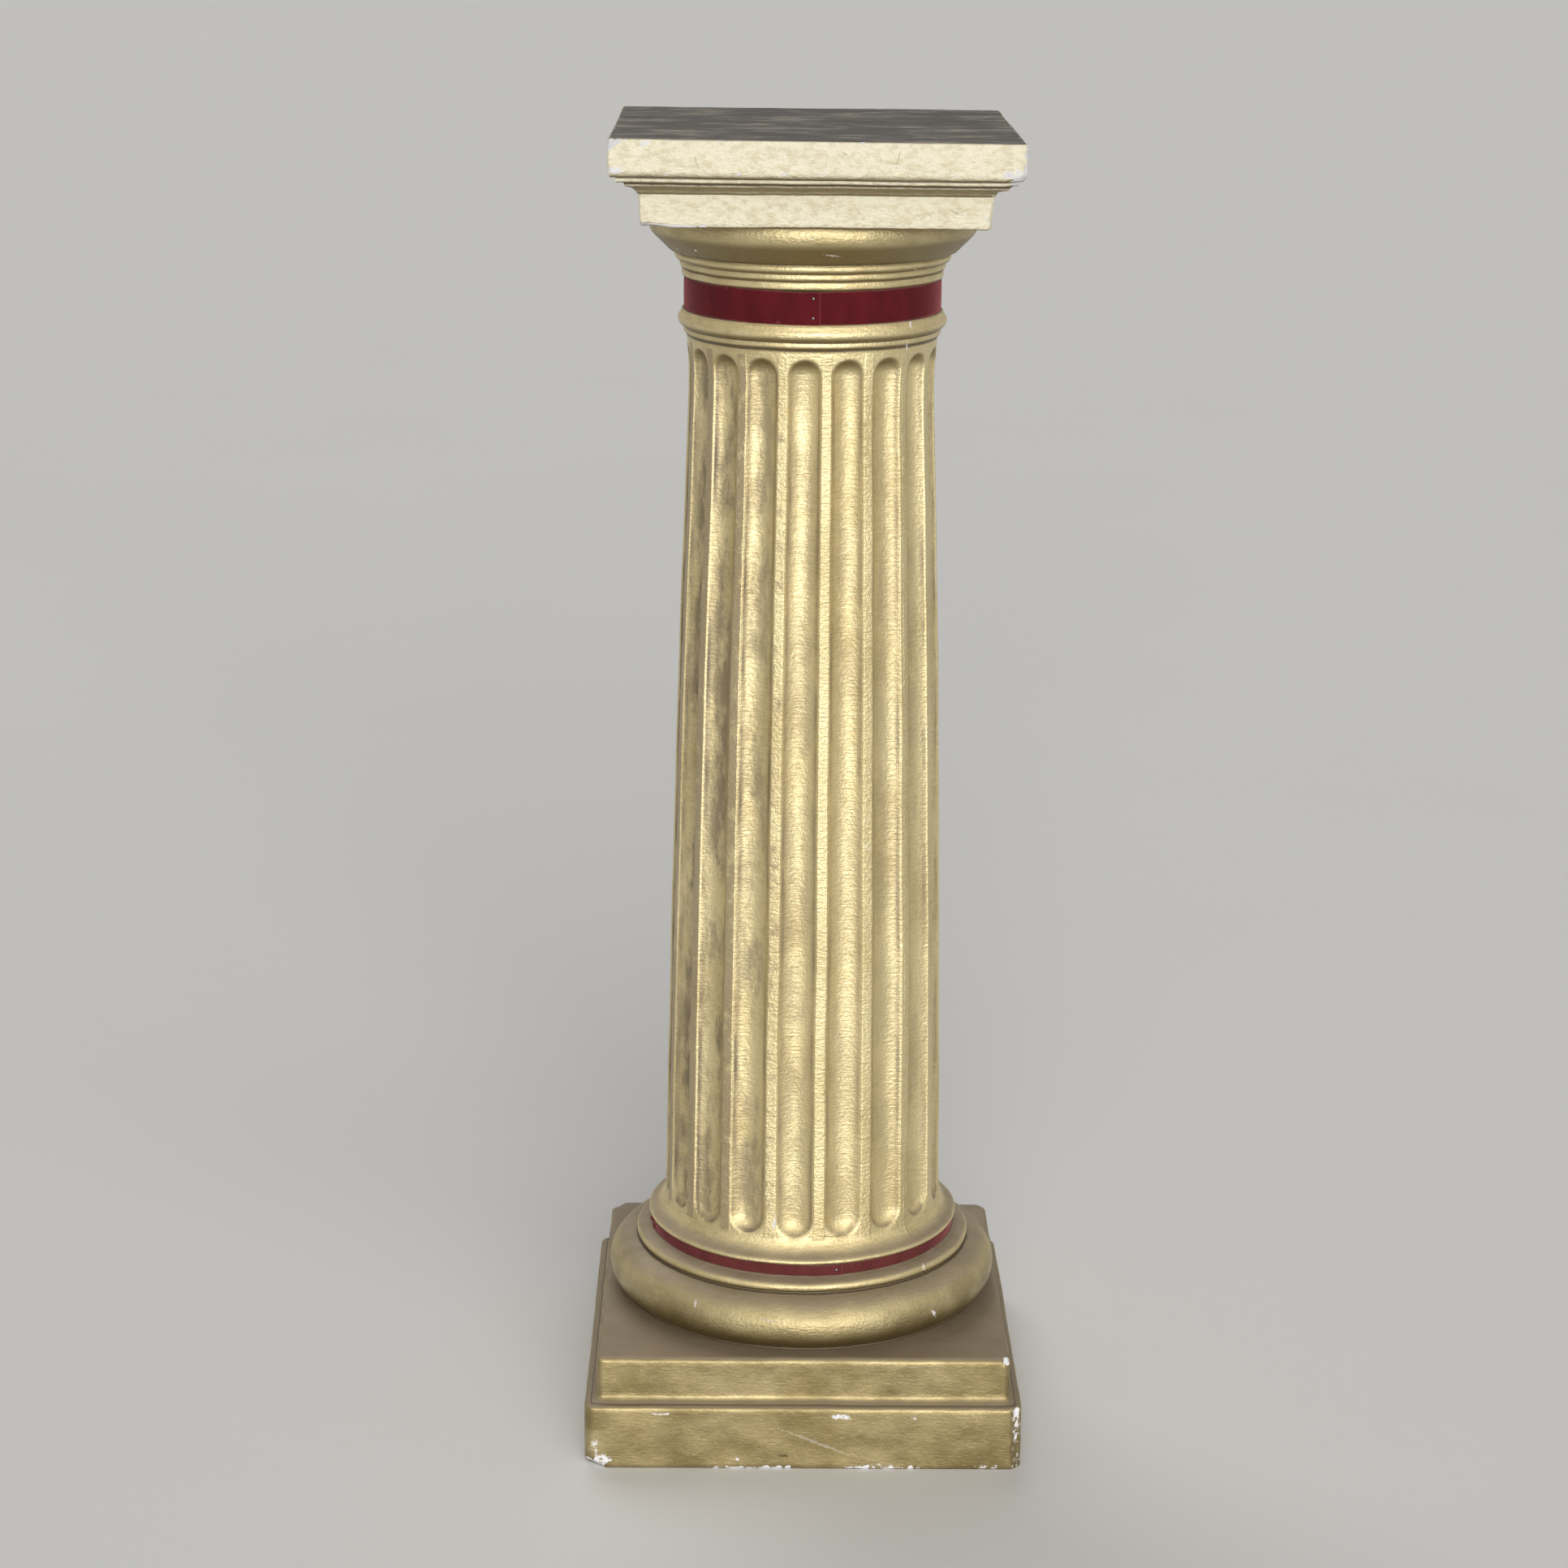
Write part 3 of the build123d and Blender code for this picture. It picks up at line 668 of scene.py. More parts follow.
def abacus_rings(azimuth):
    """Section and rings of the abacus, out from the echinus, up its block and slab and in over its top."""
    line = abacus_section()
    rings = square_rings(line, ABACUS_CORNER)
    moulding = (line[:, 1] < SLAB_FOOT - 1) & (line[:, 1] > BLOCK_HEAD[1])
    rings[moulding] = square_rings(line[moulding], MOULDING_CORNER)
    block = line[:, 1] <= BLOCK_HEAD[1]
    rings[block] = square_rings(line[block], ABACUS_CORNER)
    groove = round_rings(np.array([(BLOCK_GROOVE + 0.3, BLOCK_FOOT[1])]), azimuth)[0]
    centre = np.tile([0.0, 0.0, COLUMN_HEIGHT], (len(azimuth), 1))
    under = between_rings(groove, rings[0], BLOCK_FOOT_RINGS)
    over = between_rings(rings[-1], centre, SLAB_TOP_RINGS)
    return line, np.concatenate([under, rings, over])


def casting_mesh(sizes):
    """Points, faces and attributes of the whole casting, closed all round.
    Rings run from the middle of the underside out, up the plinth, up the turned part and over the abacus.
    The square and the turned rings have their own columns and are zipped together in the two flat faces."""
    square, turned = square_plan()[2], shaft_azimuths(sizes)
    plinth_line, plinth = plinth_rings(square)
    turned_line, column, depth = fluted_rings(sizes, turned)
    abacus_line, abacus = abacus_rings(square)

    zones = [plinth, column, abacus]
    firsts = np.cumsum([0] + [zone.shape[0] * zone.shape[1] for zone in zones])
    faces = [ring_faces(*zone.shape[:2], first) for zone, first in zip(zones, firsts)]
    faces.append(zipped_faces(square, firsts[1] - len(square), turned, firsts[1]))
    faces.append(zipped_faces(turned, firsts[2] - len(turned), square, firsts[2]))
    faces.append(fan_faces(np.arange(len(square)), firsts[3], False))
    faces.append(fan_faces(np.arange(firsts[3] - len(square), firsts[3]), firsts[3] + 1, True))
    poles = np.array([(0, 0, 0), (0, 0, COLUMN_HEIGHT)], float)
    points = np.concatenate([*(zone.reshape(-1, 3) for zone in zones), poles])

    def per_point(plinth_values, column_values, abacus_values):
        """Values of each zone, given by row or by point, as one array with the poles' zeros."""
        values = zip((plinth_values, column_values, abacus_values), zones)
        parts = [np.broadcast_to(part, zone.shape[:2]).ravel() for part, zone in values]
        return np.concatenate([*parts, np.zeros(2)])

    def bent(line, rows_before, rows_after):
        """Bend of a section as a column of rows, with flat rows before and after it."""
        values = [np.zeros(rows_before), bend_of(line, BEND_REACH), np.zeros(rows_after)]
        return np.concatenate(values)[:, None]

    bend = per_point(
        bent(plinth_line, 0, len(PLINTH_TOP_RINGS)),
        bent(turned_line, 0, 0),
        bent(abacus_line, len(BLOCK_FOOT_RINGS), len(SLAB_TOP_RINGS)),
    )
    corner = square_corner_share(square)[None]
    upright = per_point(corner * rows_upright(plinth), 0, corner * rows_upright(abacus))
    edge = np.maximum(smooth_step(-bend, *BEND_RANGE), upright)
    from_seam = np.min([np.abs((turned - seam + 180) % 360 - 180) for seam in SEAM_AZIMUTHS], axis=0)
    ridge = per_point(0, (1 - smooth_step(from_seam, *SEAM_HALF_WIDTHS))[None], 0)
    ridge = ridge * smooth_step(lattice_noise(points, 14.0, 20), -0.35, 0.5)
    free = 1 - per_point(0, ribbon_rows(turned_line)[:, None], 0)
    make_uneven(points, sizes, ridge, edge, free)
    bare = np.zeros(len(points))
    chip_casting(points, bare)

    top = per_point(0, 0, (np.arange(len(abacus)) >= len(abacus) - len(SLAB_TOP_RINGS) - 1)[:, None])
    top[-1] = 1
    attributes = {
        "edge": edge,
        # Painted shade in the hollows of each section.
        "crease": smooth_step(bend, *BEND_RANGE),
        "bare": bare,
        "fillet": per_point(0, fillet_share(sizes, turned, turned_line), 0),
        "hollow": per_point(0, smooth_step(depth, 0.5, sizes.flute_depth / MM), 0),
        "rough": per_point(0, 0.16, 1.0),
        "top": top,
        "seam": ridge,
    }
    return points, faces, attributes


def fillet_share(sizes, azimuth, section):
    """1 on the fillets between the flutes and 0 beside them, by row and column."""
    pitch = 360 / sizes.flute_count
    off = np.abs((azimuth - FILLET_AZIMUTH + pitch / 2) % pitch - pitch / 2)
    on_fillet = 1 - smooth_step(off, pitch * sizes.fillet_share * 0.42, pitch * sizes.fillet_share * 0.56)
    fluted = (section[:, 1] > FLUTE_FOOT - 2) & (section[:, 1] < FLUTE_HEAD + 4)
    return on_fillet[None] * fluted[:, None]


def make_uneven(points, sizes, ridge, edge, free):
    """Raises the mould line, sends slow waves through all that is free of ribbon, frays the edges inwards
    and tilts the slab."""
    wander = sizes.unevenness / MM
    flat = points[:, :2] / np.linalg.norm(points[:, :2], axis=1, keepdims=True).clip(1e-6)
    points[:, :2] += flat * (sizes.seam_height / MM * ridge)[:, None]
    for axis in range(3):
        slow = lattice_noise(points, 70.0, 30 + axis) + 0.45 * lattice_noise(points, 18.0, 33 + axis)
        points[:, axis] += wander * slow * free * smooth_step(points[:, 2], 0, 6)
    ragged = 0.5 * wander * np.abs(lattice_noise(points, 4.0, 36)) * edge * free
    points[:, :2] -= flat * ragged[:, None]
    points[:, 2] += SLAB_TILT * points[:, 0] * smooth_step(points[:, 2], BLOCK_HEAD[1], SLAB_FOOT)


def square_corner_share(azimuth):
    """1 at the corners of a square plan and 0 a little way along its sides."""
    from_corner = np.abs((azimuth % 90) - 45)
    return 1 - smooth_step(from_corner, 0.5, 2.2)


def rows_upright(rings):
    """1 for the rings of upright walls and arrises, and 0 for those of the flat faces inside them, by row."""
    reach = np.abs(rings[:, :, 0]).max(axis=1)
    rise = np.abs(np.gradient(rings[:, 0, 2])) / (np.abs(np.gradient(reach)) + 1e-3)
    return smooth_step(rise, 0.2, 1.0)[:, None]


def ribbon_rows(section):
    """1 for the rows of the walls that the ribbons lie on."""
    on_neck = (section[:, 1] > NECK_LIP[1][1]) & (section[:, 1] < NECK_FILLET[0][1])
    on_base = (section[:, 1] > BASE_WALL[0][1] - 0.5) & (section[:, 1] < BASE_WALL[1][1] + 0.3)
    return (on_neck | on_base).astype(float)


def set_inputs(tree, node, inputs):
    """Sets each named input of a node to its value, or joins it to the output that is given for it."""
    for name, value in inputs.items():
        if isinstance(value, bpy.types.NodeSocket):
            tree.links.new(value, node.inputs[name])
        else:
            node.inputs[name].default_value = value


def add_node(tree, kind, inputs, **settings):
    """Adds a node with its settings and its inputs."""
    made = tree.nodes.new(kind)
    for name, value in settings.items():
        setattr(made, name, value)
    set_inputs(tree, made, inputs)
    return made


def maths(tree, operation, first, second=0.0, third=0.0):
    """Output of a maths node."""
    return add_node(tree, "ShaderNodeMath", {0: first, 1: second, 2: third}, operation=operation).outputs[0]


def times(tree, first, second):
    """One value times another."""
    return maths(tree, "MULTIPLY", first, second)


def weighted(tree, value, weight, other):
    """A value times its weight, plus another value."""
    return maths(tree, "MULTIPLY_ADD", value, weight, other)


def greater(tree, first, second):
    """The greater of two values."""
    return maths(tree, "MAXIMUM", first, second)


def rest_of(tree, share):
    """What a share leaves of 1."""
    return maths(tree, "SUBTRACT", 1.0, share)


def mixed(tree, share, first, second):
    """Colour part of the way from the first to the second."""
    inputs = {"Factor": share, "A": first, "B": second}
    return add_node(tree, "ShaderNodeMix", inputs, data_type="RGBA", clamp_factor=True).outputs["Result"]


def mixed_value(tree, share, first, second):
    """Number part of the way from the first to the second."""
    inputs = {"Value": share, "From Min": 0.0, "From Max": 1.0, "To Min": first, "To Max": second}
    return add_node(tree, "ShaderNodeMapRange", inputs).outputs[0]


def layered(tree, mix, base, coats):
    """A base with coats over it in turn, each a mask and what it brings where the mask is 1."""
    for share, coat in coats:
        base = mix(tree, share, base, coat)
    return base


def ramp(tree, value, low, high):
    """Smooth rise from 0 to 1 between two levels of a value."""
    inputs = {"Value": value, "From Min": low, "From Max": high}
    return add_node(tree, "ShaderNodeMapRange", inputs, interpolation_type="SMOOTHSTEP").outputs[0]


def band(tree, value, foot, head):
    """1 between two levels of a value and 0 beyond: it rises across the foot and falls across the head."""
    return times(tree, ramp(tree, value, *foot), rest_of(tree, ramp(tree, value, *head)))


def axis_of(tree, vector, axis):
    """One axis of a vector."""
    return add_node(tree, "ShaderNodeSeparateXYZ", {0: vector}).outputs[axis]


def facing_up(tree):
    """How far the surface faces up, from -1 to 1."""
    return axis_of(tree, add_node(tree, "ShaderNodeNewGeometry", {}).outputs["Normal"], "Z")


def attribute(tree, name):
    """Values of the piece's own attribute."""
    made = add_node(tree, "ShaderNodeAttribute", {}, attribute_name=name, attribute_type="GEOMETRY")
    return made.outputs["Fac"]


def texture_noise(tree, place, scale, detail, roughness):
    """Noise at a scale of the coordinates that it is given."""
    inputs = {"Vector": place, "Scale": scale, "Detail": detail, "Roughness": roughness}
    return add_node(tree, "ShaderNodeTexNoise", inputs).outputs["Fac"]


def noise(tree, place, size, detail, roughness, stretch=(1, 1, 1)):
    """Noise whose features are about that many metres across, longer where stretch is over 1."""
    scale = tuple(1 / (size * part) for part in stretch)
    fitted = add_node(tree, "ShaderNodeMapping", {"Vector": place, "Scale": scale})
    return texture_noise(tree, fitted.outputs[0], 1.0, detail, roughness)


def bumped(tree, height, strength, distance):
    """Normal tilted by a height, whose unit is a distance in metres."""
    inputs = {"Height": height, "Strength": strength, "Distance": distance}
    return add_node(tree, "ShaderNodeBump", inputs).outputs[0]


def darkened(colour, share):
    """That share of a colour."""
    return tuple(part * share for part in colour[:3]) + (1,)


def new_group(name, output, **inputs):
    """Empty node group that takes coordinates and named numbers, and puts out one number."""
    tree = bpy.data.node_groups.new(name, "ShaderNodeTree")
    tree.interface.new_socket(name="Vector", in_out="INPUT", socket_type="NodeSocketVector")
    for label, default in inputs.items():
        socket = tree.interface.new_socket(name=label, in_out="INPUT", socket_type="NodeSocketFloat")
        socket.default_value = default
    tree.interface.new_socket(name=output, in_out="OUTPUT", socket_type="NodeSocketFloat")
    return tree, tree.nodes.new("NodeGroupInput").outputs, tree.nodes.new("NodeGroupOutput").inputs


def scaled_place(tree, place, size):
    """Coordinates divided by a size that comes through a socket."""
    share = maths(tree, "DIVIDE", 1.0, size)
    return add_node(tree, "ShaderNodeVectorMath", {0: place, "Scale": share}, operation="SCALE").outputs[0]


def settled_dust():
    """Node group of a dust mask: how far the surface faces up, broken by a slow noise."""
    tree, given, result = new_group("settled_dust", "Mask", Start=0.25, Full=0.8, Patchiness=0.35)
    cloud = maths(tree, "SUBTRACT", noise(tree, given["Vector"], 0.03, 4.0, 0.6), 0.5)
    shifted = weighted(tree, cloud, given["Patchiness"], facing_up(tree))
    tree.links.new(ramp(tree, shifted, given["Start"], given["Full"]), result["Mask"])
    return tree


def ragged_patches():
    """Node group that turns a soft mask into patches with ragged rims, by a fine noise."""
    tree, given, result = new_group("ragged_patches", "Mask", Mask=0.0, Size=0.004, Spread=0.6)
    place = scaled_place(tree, given["Vector"], given["Size"])
    grain = maths(tree, "SUBTRACT", texture_noise(tree, place, 1.0, 5.0, 0.65), 0.5)
    raised = weighted(tree, grain, given["Spread"], given["Mask"])
    tree.links.new(ramp(tree, raised, 0.42, 0.58), result["Mask"])
    return tree


def surface_grain():
    """Node group of a fine, uneven height: lumps of one size with a finer grain on them."""
    tree, given, result = new_group("surface_grain", "Height", Size=0.003, Fineness=0.35)
    place = scaled_place(tree, given["Vector"], given["Size"])
    lumps = texture_noise(tree, place, 1.0, 2.0, 0.5)
    fine = texture_noise(tree, place, 3.7, 3.0, 0.6)
    tree.links.new(weighted(tree, fine, given["Fineness"], lumps), result["Height"])
    return tree


def from_group(tree, build, place, **inputs):
    """What a shared node group puts out at a place. The group has its builder's name and is built once."""
    group = bpy.data.node_groups.get(build.__name__) or build()
    return add_node(tree, "ShaderNodeGroup", {"Vector": place, **inputs}, node_tree=group).outputs[0]


def ragged(tree, place, size, spread, mask):
    """A soft mask as patches with ragged rims."""
    return from_group(tree, ragged_patches, place, Size=size, Spread=spread, Mask=mask)


def marks(tree, place, grain, spots):
    """Mask of ragged spots: 1 within each spot's ellipsoid, whose rim is broken by a fine noise."""
    total = 0.0
    for centre, sizes, turn, strength in spots:
        inputs = {
            "Vector": place,
            "Location": Vector(centre) * MM,
            "Rotation": (0, math.radians(turn), 0),
            "Scale": Vector(sizes) * MM,
        }
        local = add_node(tree, "ShaderNodeMapping", inputs, vector_type="TEXTURE").outputs[0]
        apart = add_node(tree, "ShaderNodeVectorMath", {0: local}, operation="LENGTH").outputs["Value"]
        rim = ramp(tree, weighted(tree, grain, MARK_RAGGEDNESS, apart), *MARK_RIM)
        total = greater(tree, total, weighted(tree, rim, -strength, strength))
    return total


def new_material(name):
    """Material with only a Principled shader, its tree and Object coordinates."""
    material = bpy.data.materials.new(name)
    material.use_nodes = True
    tree = material.node_tree
    shader = next(node for node in tree.nodes if node.type == "BSDF_PRINCIPLED")
    return material, tree, shader, add_node(tree, "ShaderNodeTexCoord", {}).outputs["Object"]


def flute_smears(tree, place, on_left):
    """Masks of painted shade along the flutes' flanks, and of dark smears over their hollows that are partly
    dirt and partly painted shade, both stronger on the shaded left.
    """
    hollow = attribute(tree, "hollow")
    streaky = ramp(tree, noise(tree, place, 0.012, 5.0, 0.65, (1, 1, 6)), 0.25, 0.7)
    flank_shade = times(tree, band(tree, hollow, (0.0, 0.1), (0.15, 0.75)), streaky)
    cloudy = ramp(tree, noise(tree, place, 0.022, 5.0, 0.68, (1, 1, 2.5)), 0.40, 0.60)
    smudge = times(tree, cloudy, times(tree, hollow, mixed_value(tree, on_left, 0.25, 0.78)))
    return times(tree, flank_shade, mixed_value(tree, on_left, 0.7, 1.0)), smudge


def shaded_paint(tree, level, patchy):
    """Mask of painted shade on faces that look down, and round the echinus's throat, which is partly thin
    brown paint.
    """
    under = ramp(tree, times(tree, facing_up(tree), -1.0), 0.05, 0.75)
    fade = mixed_value(tree, ramp(tree, level, *THROAT_FADE), 1.0, 0.55)
    throat = times(tree, band(tree, level, THROAT_FOOT, THROAT_HEAD), fade)
    return greater(tree, under, times(tree, throat, mixed_value(tree, patchy, 0.5, 1.0)))


def slab_top_paint(tree, place, colours):
    """Colour of the slab's top: dull, with light streaks and brown stains along X."""
    streaks = ramp(tree, noise(tree, place, 0.026, 7.0, 0.74, (2.6, 1, 1)), 0.46, 0.64)
    stains = ramp(tree, noise(tree, place, 0.05, 4.0, 0.6, (3, 1, 1)), 0.45, 0.7)
    coats = ((streaks, colours.top_streak), (times(tree, stains, 0.7), colours.top_stain))
    return layered(tree, mixed, colours.slab_top, coats)


def bare_plaster(tree, place, grain):
    """Mask of the white plaster: partly bare rims and mould lines, and chips and small marks, one of which is
    a painted glint on the torus.
    """
    rim = ragged(tree, place, 0.005, 1.0, times(tree, attribute(tree, "edge"), 0.24))
    flash = ragged(tree, place, 0.004, 1.0, times(tree, attribute(tree, "seam"), 0.34))
    chips = ragged(tree, place, 0.0036, 1.0, attribute(tree, "bare"))
    chips = greater(tree, chips, marks(tree, place, grain, WHITE_MARKS_AND_GLINT))
    return greater(tree, times(tree, greater(tree, rim, flash), 0.6), chips)


def gold_paint(colours):
    """Metallic paint over plaster: brushed gold with thin olive places, a tan ground worn bare on the
    fillets, dust on what faces up, dark marks, and white plaster in the chips. Painted light is laid on it
    too: a paler abacus and a glint on the torus as painted highlight, and painted shade low down, on faces
    that look down, in the flutes and in the creases."""
    material, tree, shader, place = new_material("gold_paint_on_plaster")
    level = axis_of(tree, place, "Z")
    on_abacus = ramp(tree, attribute(tree, "rough"), 0.5, 1.0)
    # The left is the shaded side: there the painted shade in the flutes is stronger, and the fillets are more
    # worn.
    on_left = ramp(tree, times(tree, axis_of(tree, place, "X"), -1.0), -0.02, 0.085)
    patchy = ramp(tree, noise(tree, place, 0.028, 5.0, 0.62, (1.6, 1, 1)), 0.3, 0.72)
    grain = noise(tree, place, 0.0024, 4.0, 0.6)

    # Masks of the paint's shades: thin olive places, painted highlight that makes the abacus paler, and
    # painted shade that darkens the paint towards the bottom
    cloud = noise(tree, place, 0.05, 5.0, 0.6, (1, 1, 2))
    brushed = noise(tree, place, 0.0018, 3.0, 0.6, (7, 7, 1))
    thin = ramp(tree, weighted(tree, brushed, 0.35, times(tree, cloud, 0.65)), 0.4, 0.75)
    daubs = noise(tree, place, 0.005, 6.0, 0.66, (1.7, 1, 1))
    # Painted highlight: the abacus is made paler, broken into daubs.
    abacus_highlight = times(tree, on_abacus, mixed_value(tree, ramp(tree, daubs, 0.46, 0.60), 1.0, 0.62))
    olive = times(tree, thin, mixed_value(tree, on_abacus, 0.85, 0.12))
    # Painted shade: the paint darkens towards the bottom, in patches.
    low = rest_of(tree, ramp(tree, level, *LOW_SHADE_HEAD))
    aged = times(tree, low, mixed_value(tree, patchy, 0.6, 1.0))

    # Masks of wear and dirt, and of painted shade in the flutes, on faces that look down and in the creases
    # Painted shade in the flutes, with dark smears that are partly dirt.
    flank_shade, smudge = flute_smears(tree, place, on_left)
    on_fillet = times(tree, attribute(tree, "fillet"), mixed_value(tree, on_left, 0.22, 0.66))
    rubbed = ragged(tree, place, 0.014, 1.1, on_fillet)
    # Painted shade on faces that look down and round the echinus's throat.
    painted_shade = shaded_paint(tree, level, patchy)
    dust = times(tree, from_group(tree, settled_dust, place, Start=0.45, Full=1.0), 0.85)
    # Painted shade in the creases.
    crease = times(tree, ragged(tree, place, 0.01, 0.4, attribute(tree, "crease")), 0.85)
    top = attribute(tree, "top")
    white = bare_plaster(tree, place, grain)

    # Coats of colour, metal and roughness, each over those before it
    colour = layered(tree, mixed, colours.gold, (
        # Painted highlight on the abacus.
        (abacus_highlight, colours.pale),
        (olive, colours.olive),
        # Painted shade towards the bottom.
        (times(tree, aged, 0.92), colours.aged),
        # Painted shade in the flutes; the smears are partly dirt.
        (flank_shade, colours.smudge),
        (smudge, colours.smudge),
        (times(tree, rubbed, 0.6), colours.worn),
        # Painted shade on faces that look down and in the echinus's throat.
        (times(tree, painted_shade, 0.9), colours.aged),
        (dust, mixed(tree, patchy, colours.dust, colours.pale_dust)),
        # Painted shade in the creases.
        (crease, colours.grime),
        (top, slab_top_paint(tree, place, colours)),
        (marks(tree, place, grain, DARK_MARKS), colours.grime),
        (white, colours.plaster),
    ))
    metal = layered(tree, mixed_value, mixed_value(tree, abacus_highlight, 0.85, 0.35), (
        (greater(tree, smudge, flank_shade), 0.3),
        (dust, 0.25),
        (times(tree, rubbed, 0.5), 0.4),
        (greater(tree, top, crease), 0.1),
        (white, 0.0),
    ))
    roughness = layered(tree, mixed_value, mixed_value(tree, thin, 0.43, 0.53), (
        (times(tree, ramp(tree, facing_up(tree), 0.12, 0.6), 0.8), 0.7),
        (greater(tree, dust, top), 0.72),
        (white, 0.9),
    ))

    # Relief: brush lines and grain, deeper on the fillets and abacus, daubs on the abacus, and sunk chips
    lumps = from_group(tree, surface_grain, place, Size=0.0026, Fineness=0.5)
    ripple = noise(tree, place, 0.0017, 2.0, 0.6, (5, 5, 1))
    depth = mixed_value(tree, attribute(tree, "rough"), 0.4, 4.0)
    depth = weighted(tree, attribute(tree, "fillet"), 0.7, depth)
    daubed = times(tree, times(tree, daubs, on_abacus), 14.0)
    height = weighted(tree, weighted(tree, ripple, 0.8, lumps), depth, daubed)
    height = weighted(tree, white, -0.6, height)
    set_inputs(tree, shader, {
        "Base Color": colour,
        "Metallic": metal,
        "Roughness": roughness,
        "Coat Weight": 0.15,
        "Coat Roughness": 0.3,
        "Normal": bumped(tree, height, 0.5, 0.001),
    })
    return material


def velvet(name, colour, dust_level, looks):
    """Cut pile: a dark body with a constant sheen, a short noise for the pile, and paler cut edges."""
    material, tree, shader, place = new_material(name)
    pile = noise(tree, place, 0.0012, 3.0, 0.7)
    nap = noise(tree, place, 0.018, 3.0, 0.55, (1, 1, 2))
    shade = ramp(tree, weighted(tree, nap, 0.7, times(tree, pile, 0.5)), 0.35, 0.85)
    edge = ramp(tree, attribute(tree, "edge"), 0.5, 1.0)
    dust = from_group(tree, settled_dust, place, Start=0.3, Full=1.1, Patchiness=1.0)
    lint = ramp(tree, noise(tree, place, 0.0011, 2.0, 0.7), 0.73, 0.8)
    tone = layered(tree, mixed, darkened(colour, 0.55), (
        (shade, colour),
        (times(tree, edge, 0.35), looks.backing),
        (greater(tree, times(tree, dust, dust_level), times(tree, lint, 0.35)), looks.lint),
    ))
    height = from_group(tree, surface_grain, place, Size=0.0009, Fineness=0.6)
    set_inputs(tree, shader, {
        "Base Color": tone,
        "Roughness": 0.95,
        "Specular IOR Level": 0.2,
        "Sheen Weight": 0.6,
        "Sheen Roughness": 0.35,
        "Sheen Tint": looks.sheen,
        "Normal": bumped(tree, height, 0.5, 0.0004),
    })
    return material


def pin_metal(looks):
    """Dark polished steel with a little tarnish."""
    material, tree, shader, place = new_material("pin_head_steel")
    tarnish = ramp(tree, noise(tree, place, 0.0008, 3.0, 0.6), 0.4, 0.7)
    height = from_group(tree, surface_grain, place, Size=0.0006, Fineness=0.3)
    set_inputs(tree, shader, {
        "Base Color": mixed(tree, tarnish, looks.pin_steel, darkened(looks.pin_steel, 0.5)),
        "Metallic": 1.0,
        "Roughness": mixed_value(tree, tarnish, 0.08, 0.2),
        "Normal": bumped(tree, height, 0.15, 0.0001),
    })
    return material


def middle_of(wall):
    """Height of the middle of a wall."""
    return (wall[0][1] + wall[1][1]) / 2


def end_faces(ring, backwards):
    """Quads that close one end of a flat band, between the points of its two sides."""
    half = len(ring) // 2
    front, back = ring[:half], ring[half:][::-1]
    quads = np.stack([front[:-1], front[1:], back[1:], back[:-1]], axis=1)
    return quads[:, ::-1] if backwards else quads


def ribbon_mesh(wall, width, thickness, lap_azimuth, droop, bulges, seed):
    """A flat band that goes once round a wall, climbs over its own start and ends in a lap that droops.
    The path gives an azimuth and a distance from the axis, and a closed strip is carried along it."""
    radius = wall[0][0]
    lap = math.degrees(LAP_LENGTH / radius)
    total = 360 + lap
    turned = np.linspace(0, total, RIBBON_ROWS)
    across = np.linspace(-1, 1, RIBBON_COLUMNS)

    # Distance from the axis: the second layer climbs over the first, and the pile is rounded off at its edges
    climb = smooth_step(turned, 360 - math.degrees(LAP_RAMP / radius), 360)
    inner = (radius + climb * (thickness + LAP_GAP))[:, None]
    outer_side = inner + thickness * (0.72 + 0.28 * (1 - across**6)) + RIBBON_CROWN * (1 - across**2)
    inner_side = np.broadcast_to(inner + WALL_GAP, outer_side.shape)

    # Height: both ends droop, the hidden start is a little narrower, and the cut end slants
    drop = droop * smooth_step(turned, total - 3.2 * lap, total)
    drop += 0.8 * droop * (1 - smooth_step(turned, 0.5 * lap, 1.8 * lap))
    tucked = 1 - 0.06 * (1 - smooth_step(turned, 0.8 * lap, 1.5 * lap))
    slant = 0.8 * smooth_step(turned, total - 1.6, total)[:, None] * smooth_step(-across, 0.2, 1)[None]
    height = middle_of(wall) - drop[:, None] + across[None] * tucked[:, None] * width / 2 - slant

    azimuth = lap_azimuth - lap + turned
    tuft = np.zeros(height.shape)
    for at, side, length, outward, upward in bulges:
        off = (azimuth[:, None] + 180) % 360 - 180 - at
        share = np.exp(-((off / length) ** 2) - ((across[None] - side) / 0.5) ** 2)
        outer_side = outer_side + outward * share
        height = height + upward * share
        tuft = np.maximum(tuft, share)
    angle = np.radians(azimuth)[:, None]

    def placed(distance):
        """Points at a distance from the axis, by row and column."""
        return np.stack([distance * np.sin(angle), -distance * np.cos(angle), height], axis=2)

    section = np.concatenate([placed(outer_side), placed(inner_side)[:, ::-1]], axis=1)
    rows, columns = section.shape[:2]
    points = section.reshape(-1, 3)
    worn = np.maximum(np.abs(across) ** 12, smooth_step(tuft, 0.3, 0.8))
    edge = np.concatenate([worn, np.ones(worn.shape)], axis=1)
    edge[-2:] = 1
    wave = 0.16 * lattice_noise(points, 7.0, seed) + 0.10 * lattice_noise(points, 1.7, seed + 1)
    points[:, 2] += wave * np.tile(np.abs(np.concatenate([across, across[::-1]])), rows)
    index = np.arange(rows * columns).reshape(rows, columns)
    strip = ring_faces(rows, columns, 0)[:, [0, 3, 2, 1]]
    return points, [strip, end_faces(index[0], False), end_faces(index[-1], True)], {"edge": edge.ravel()}


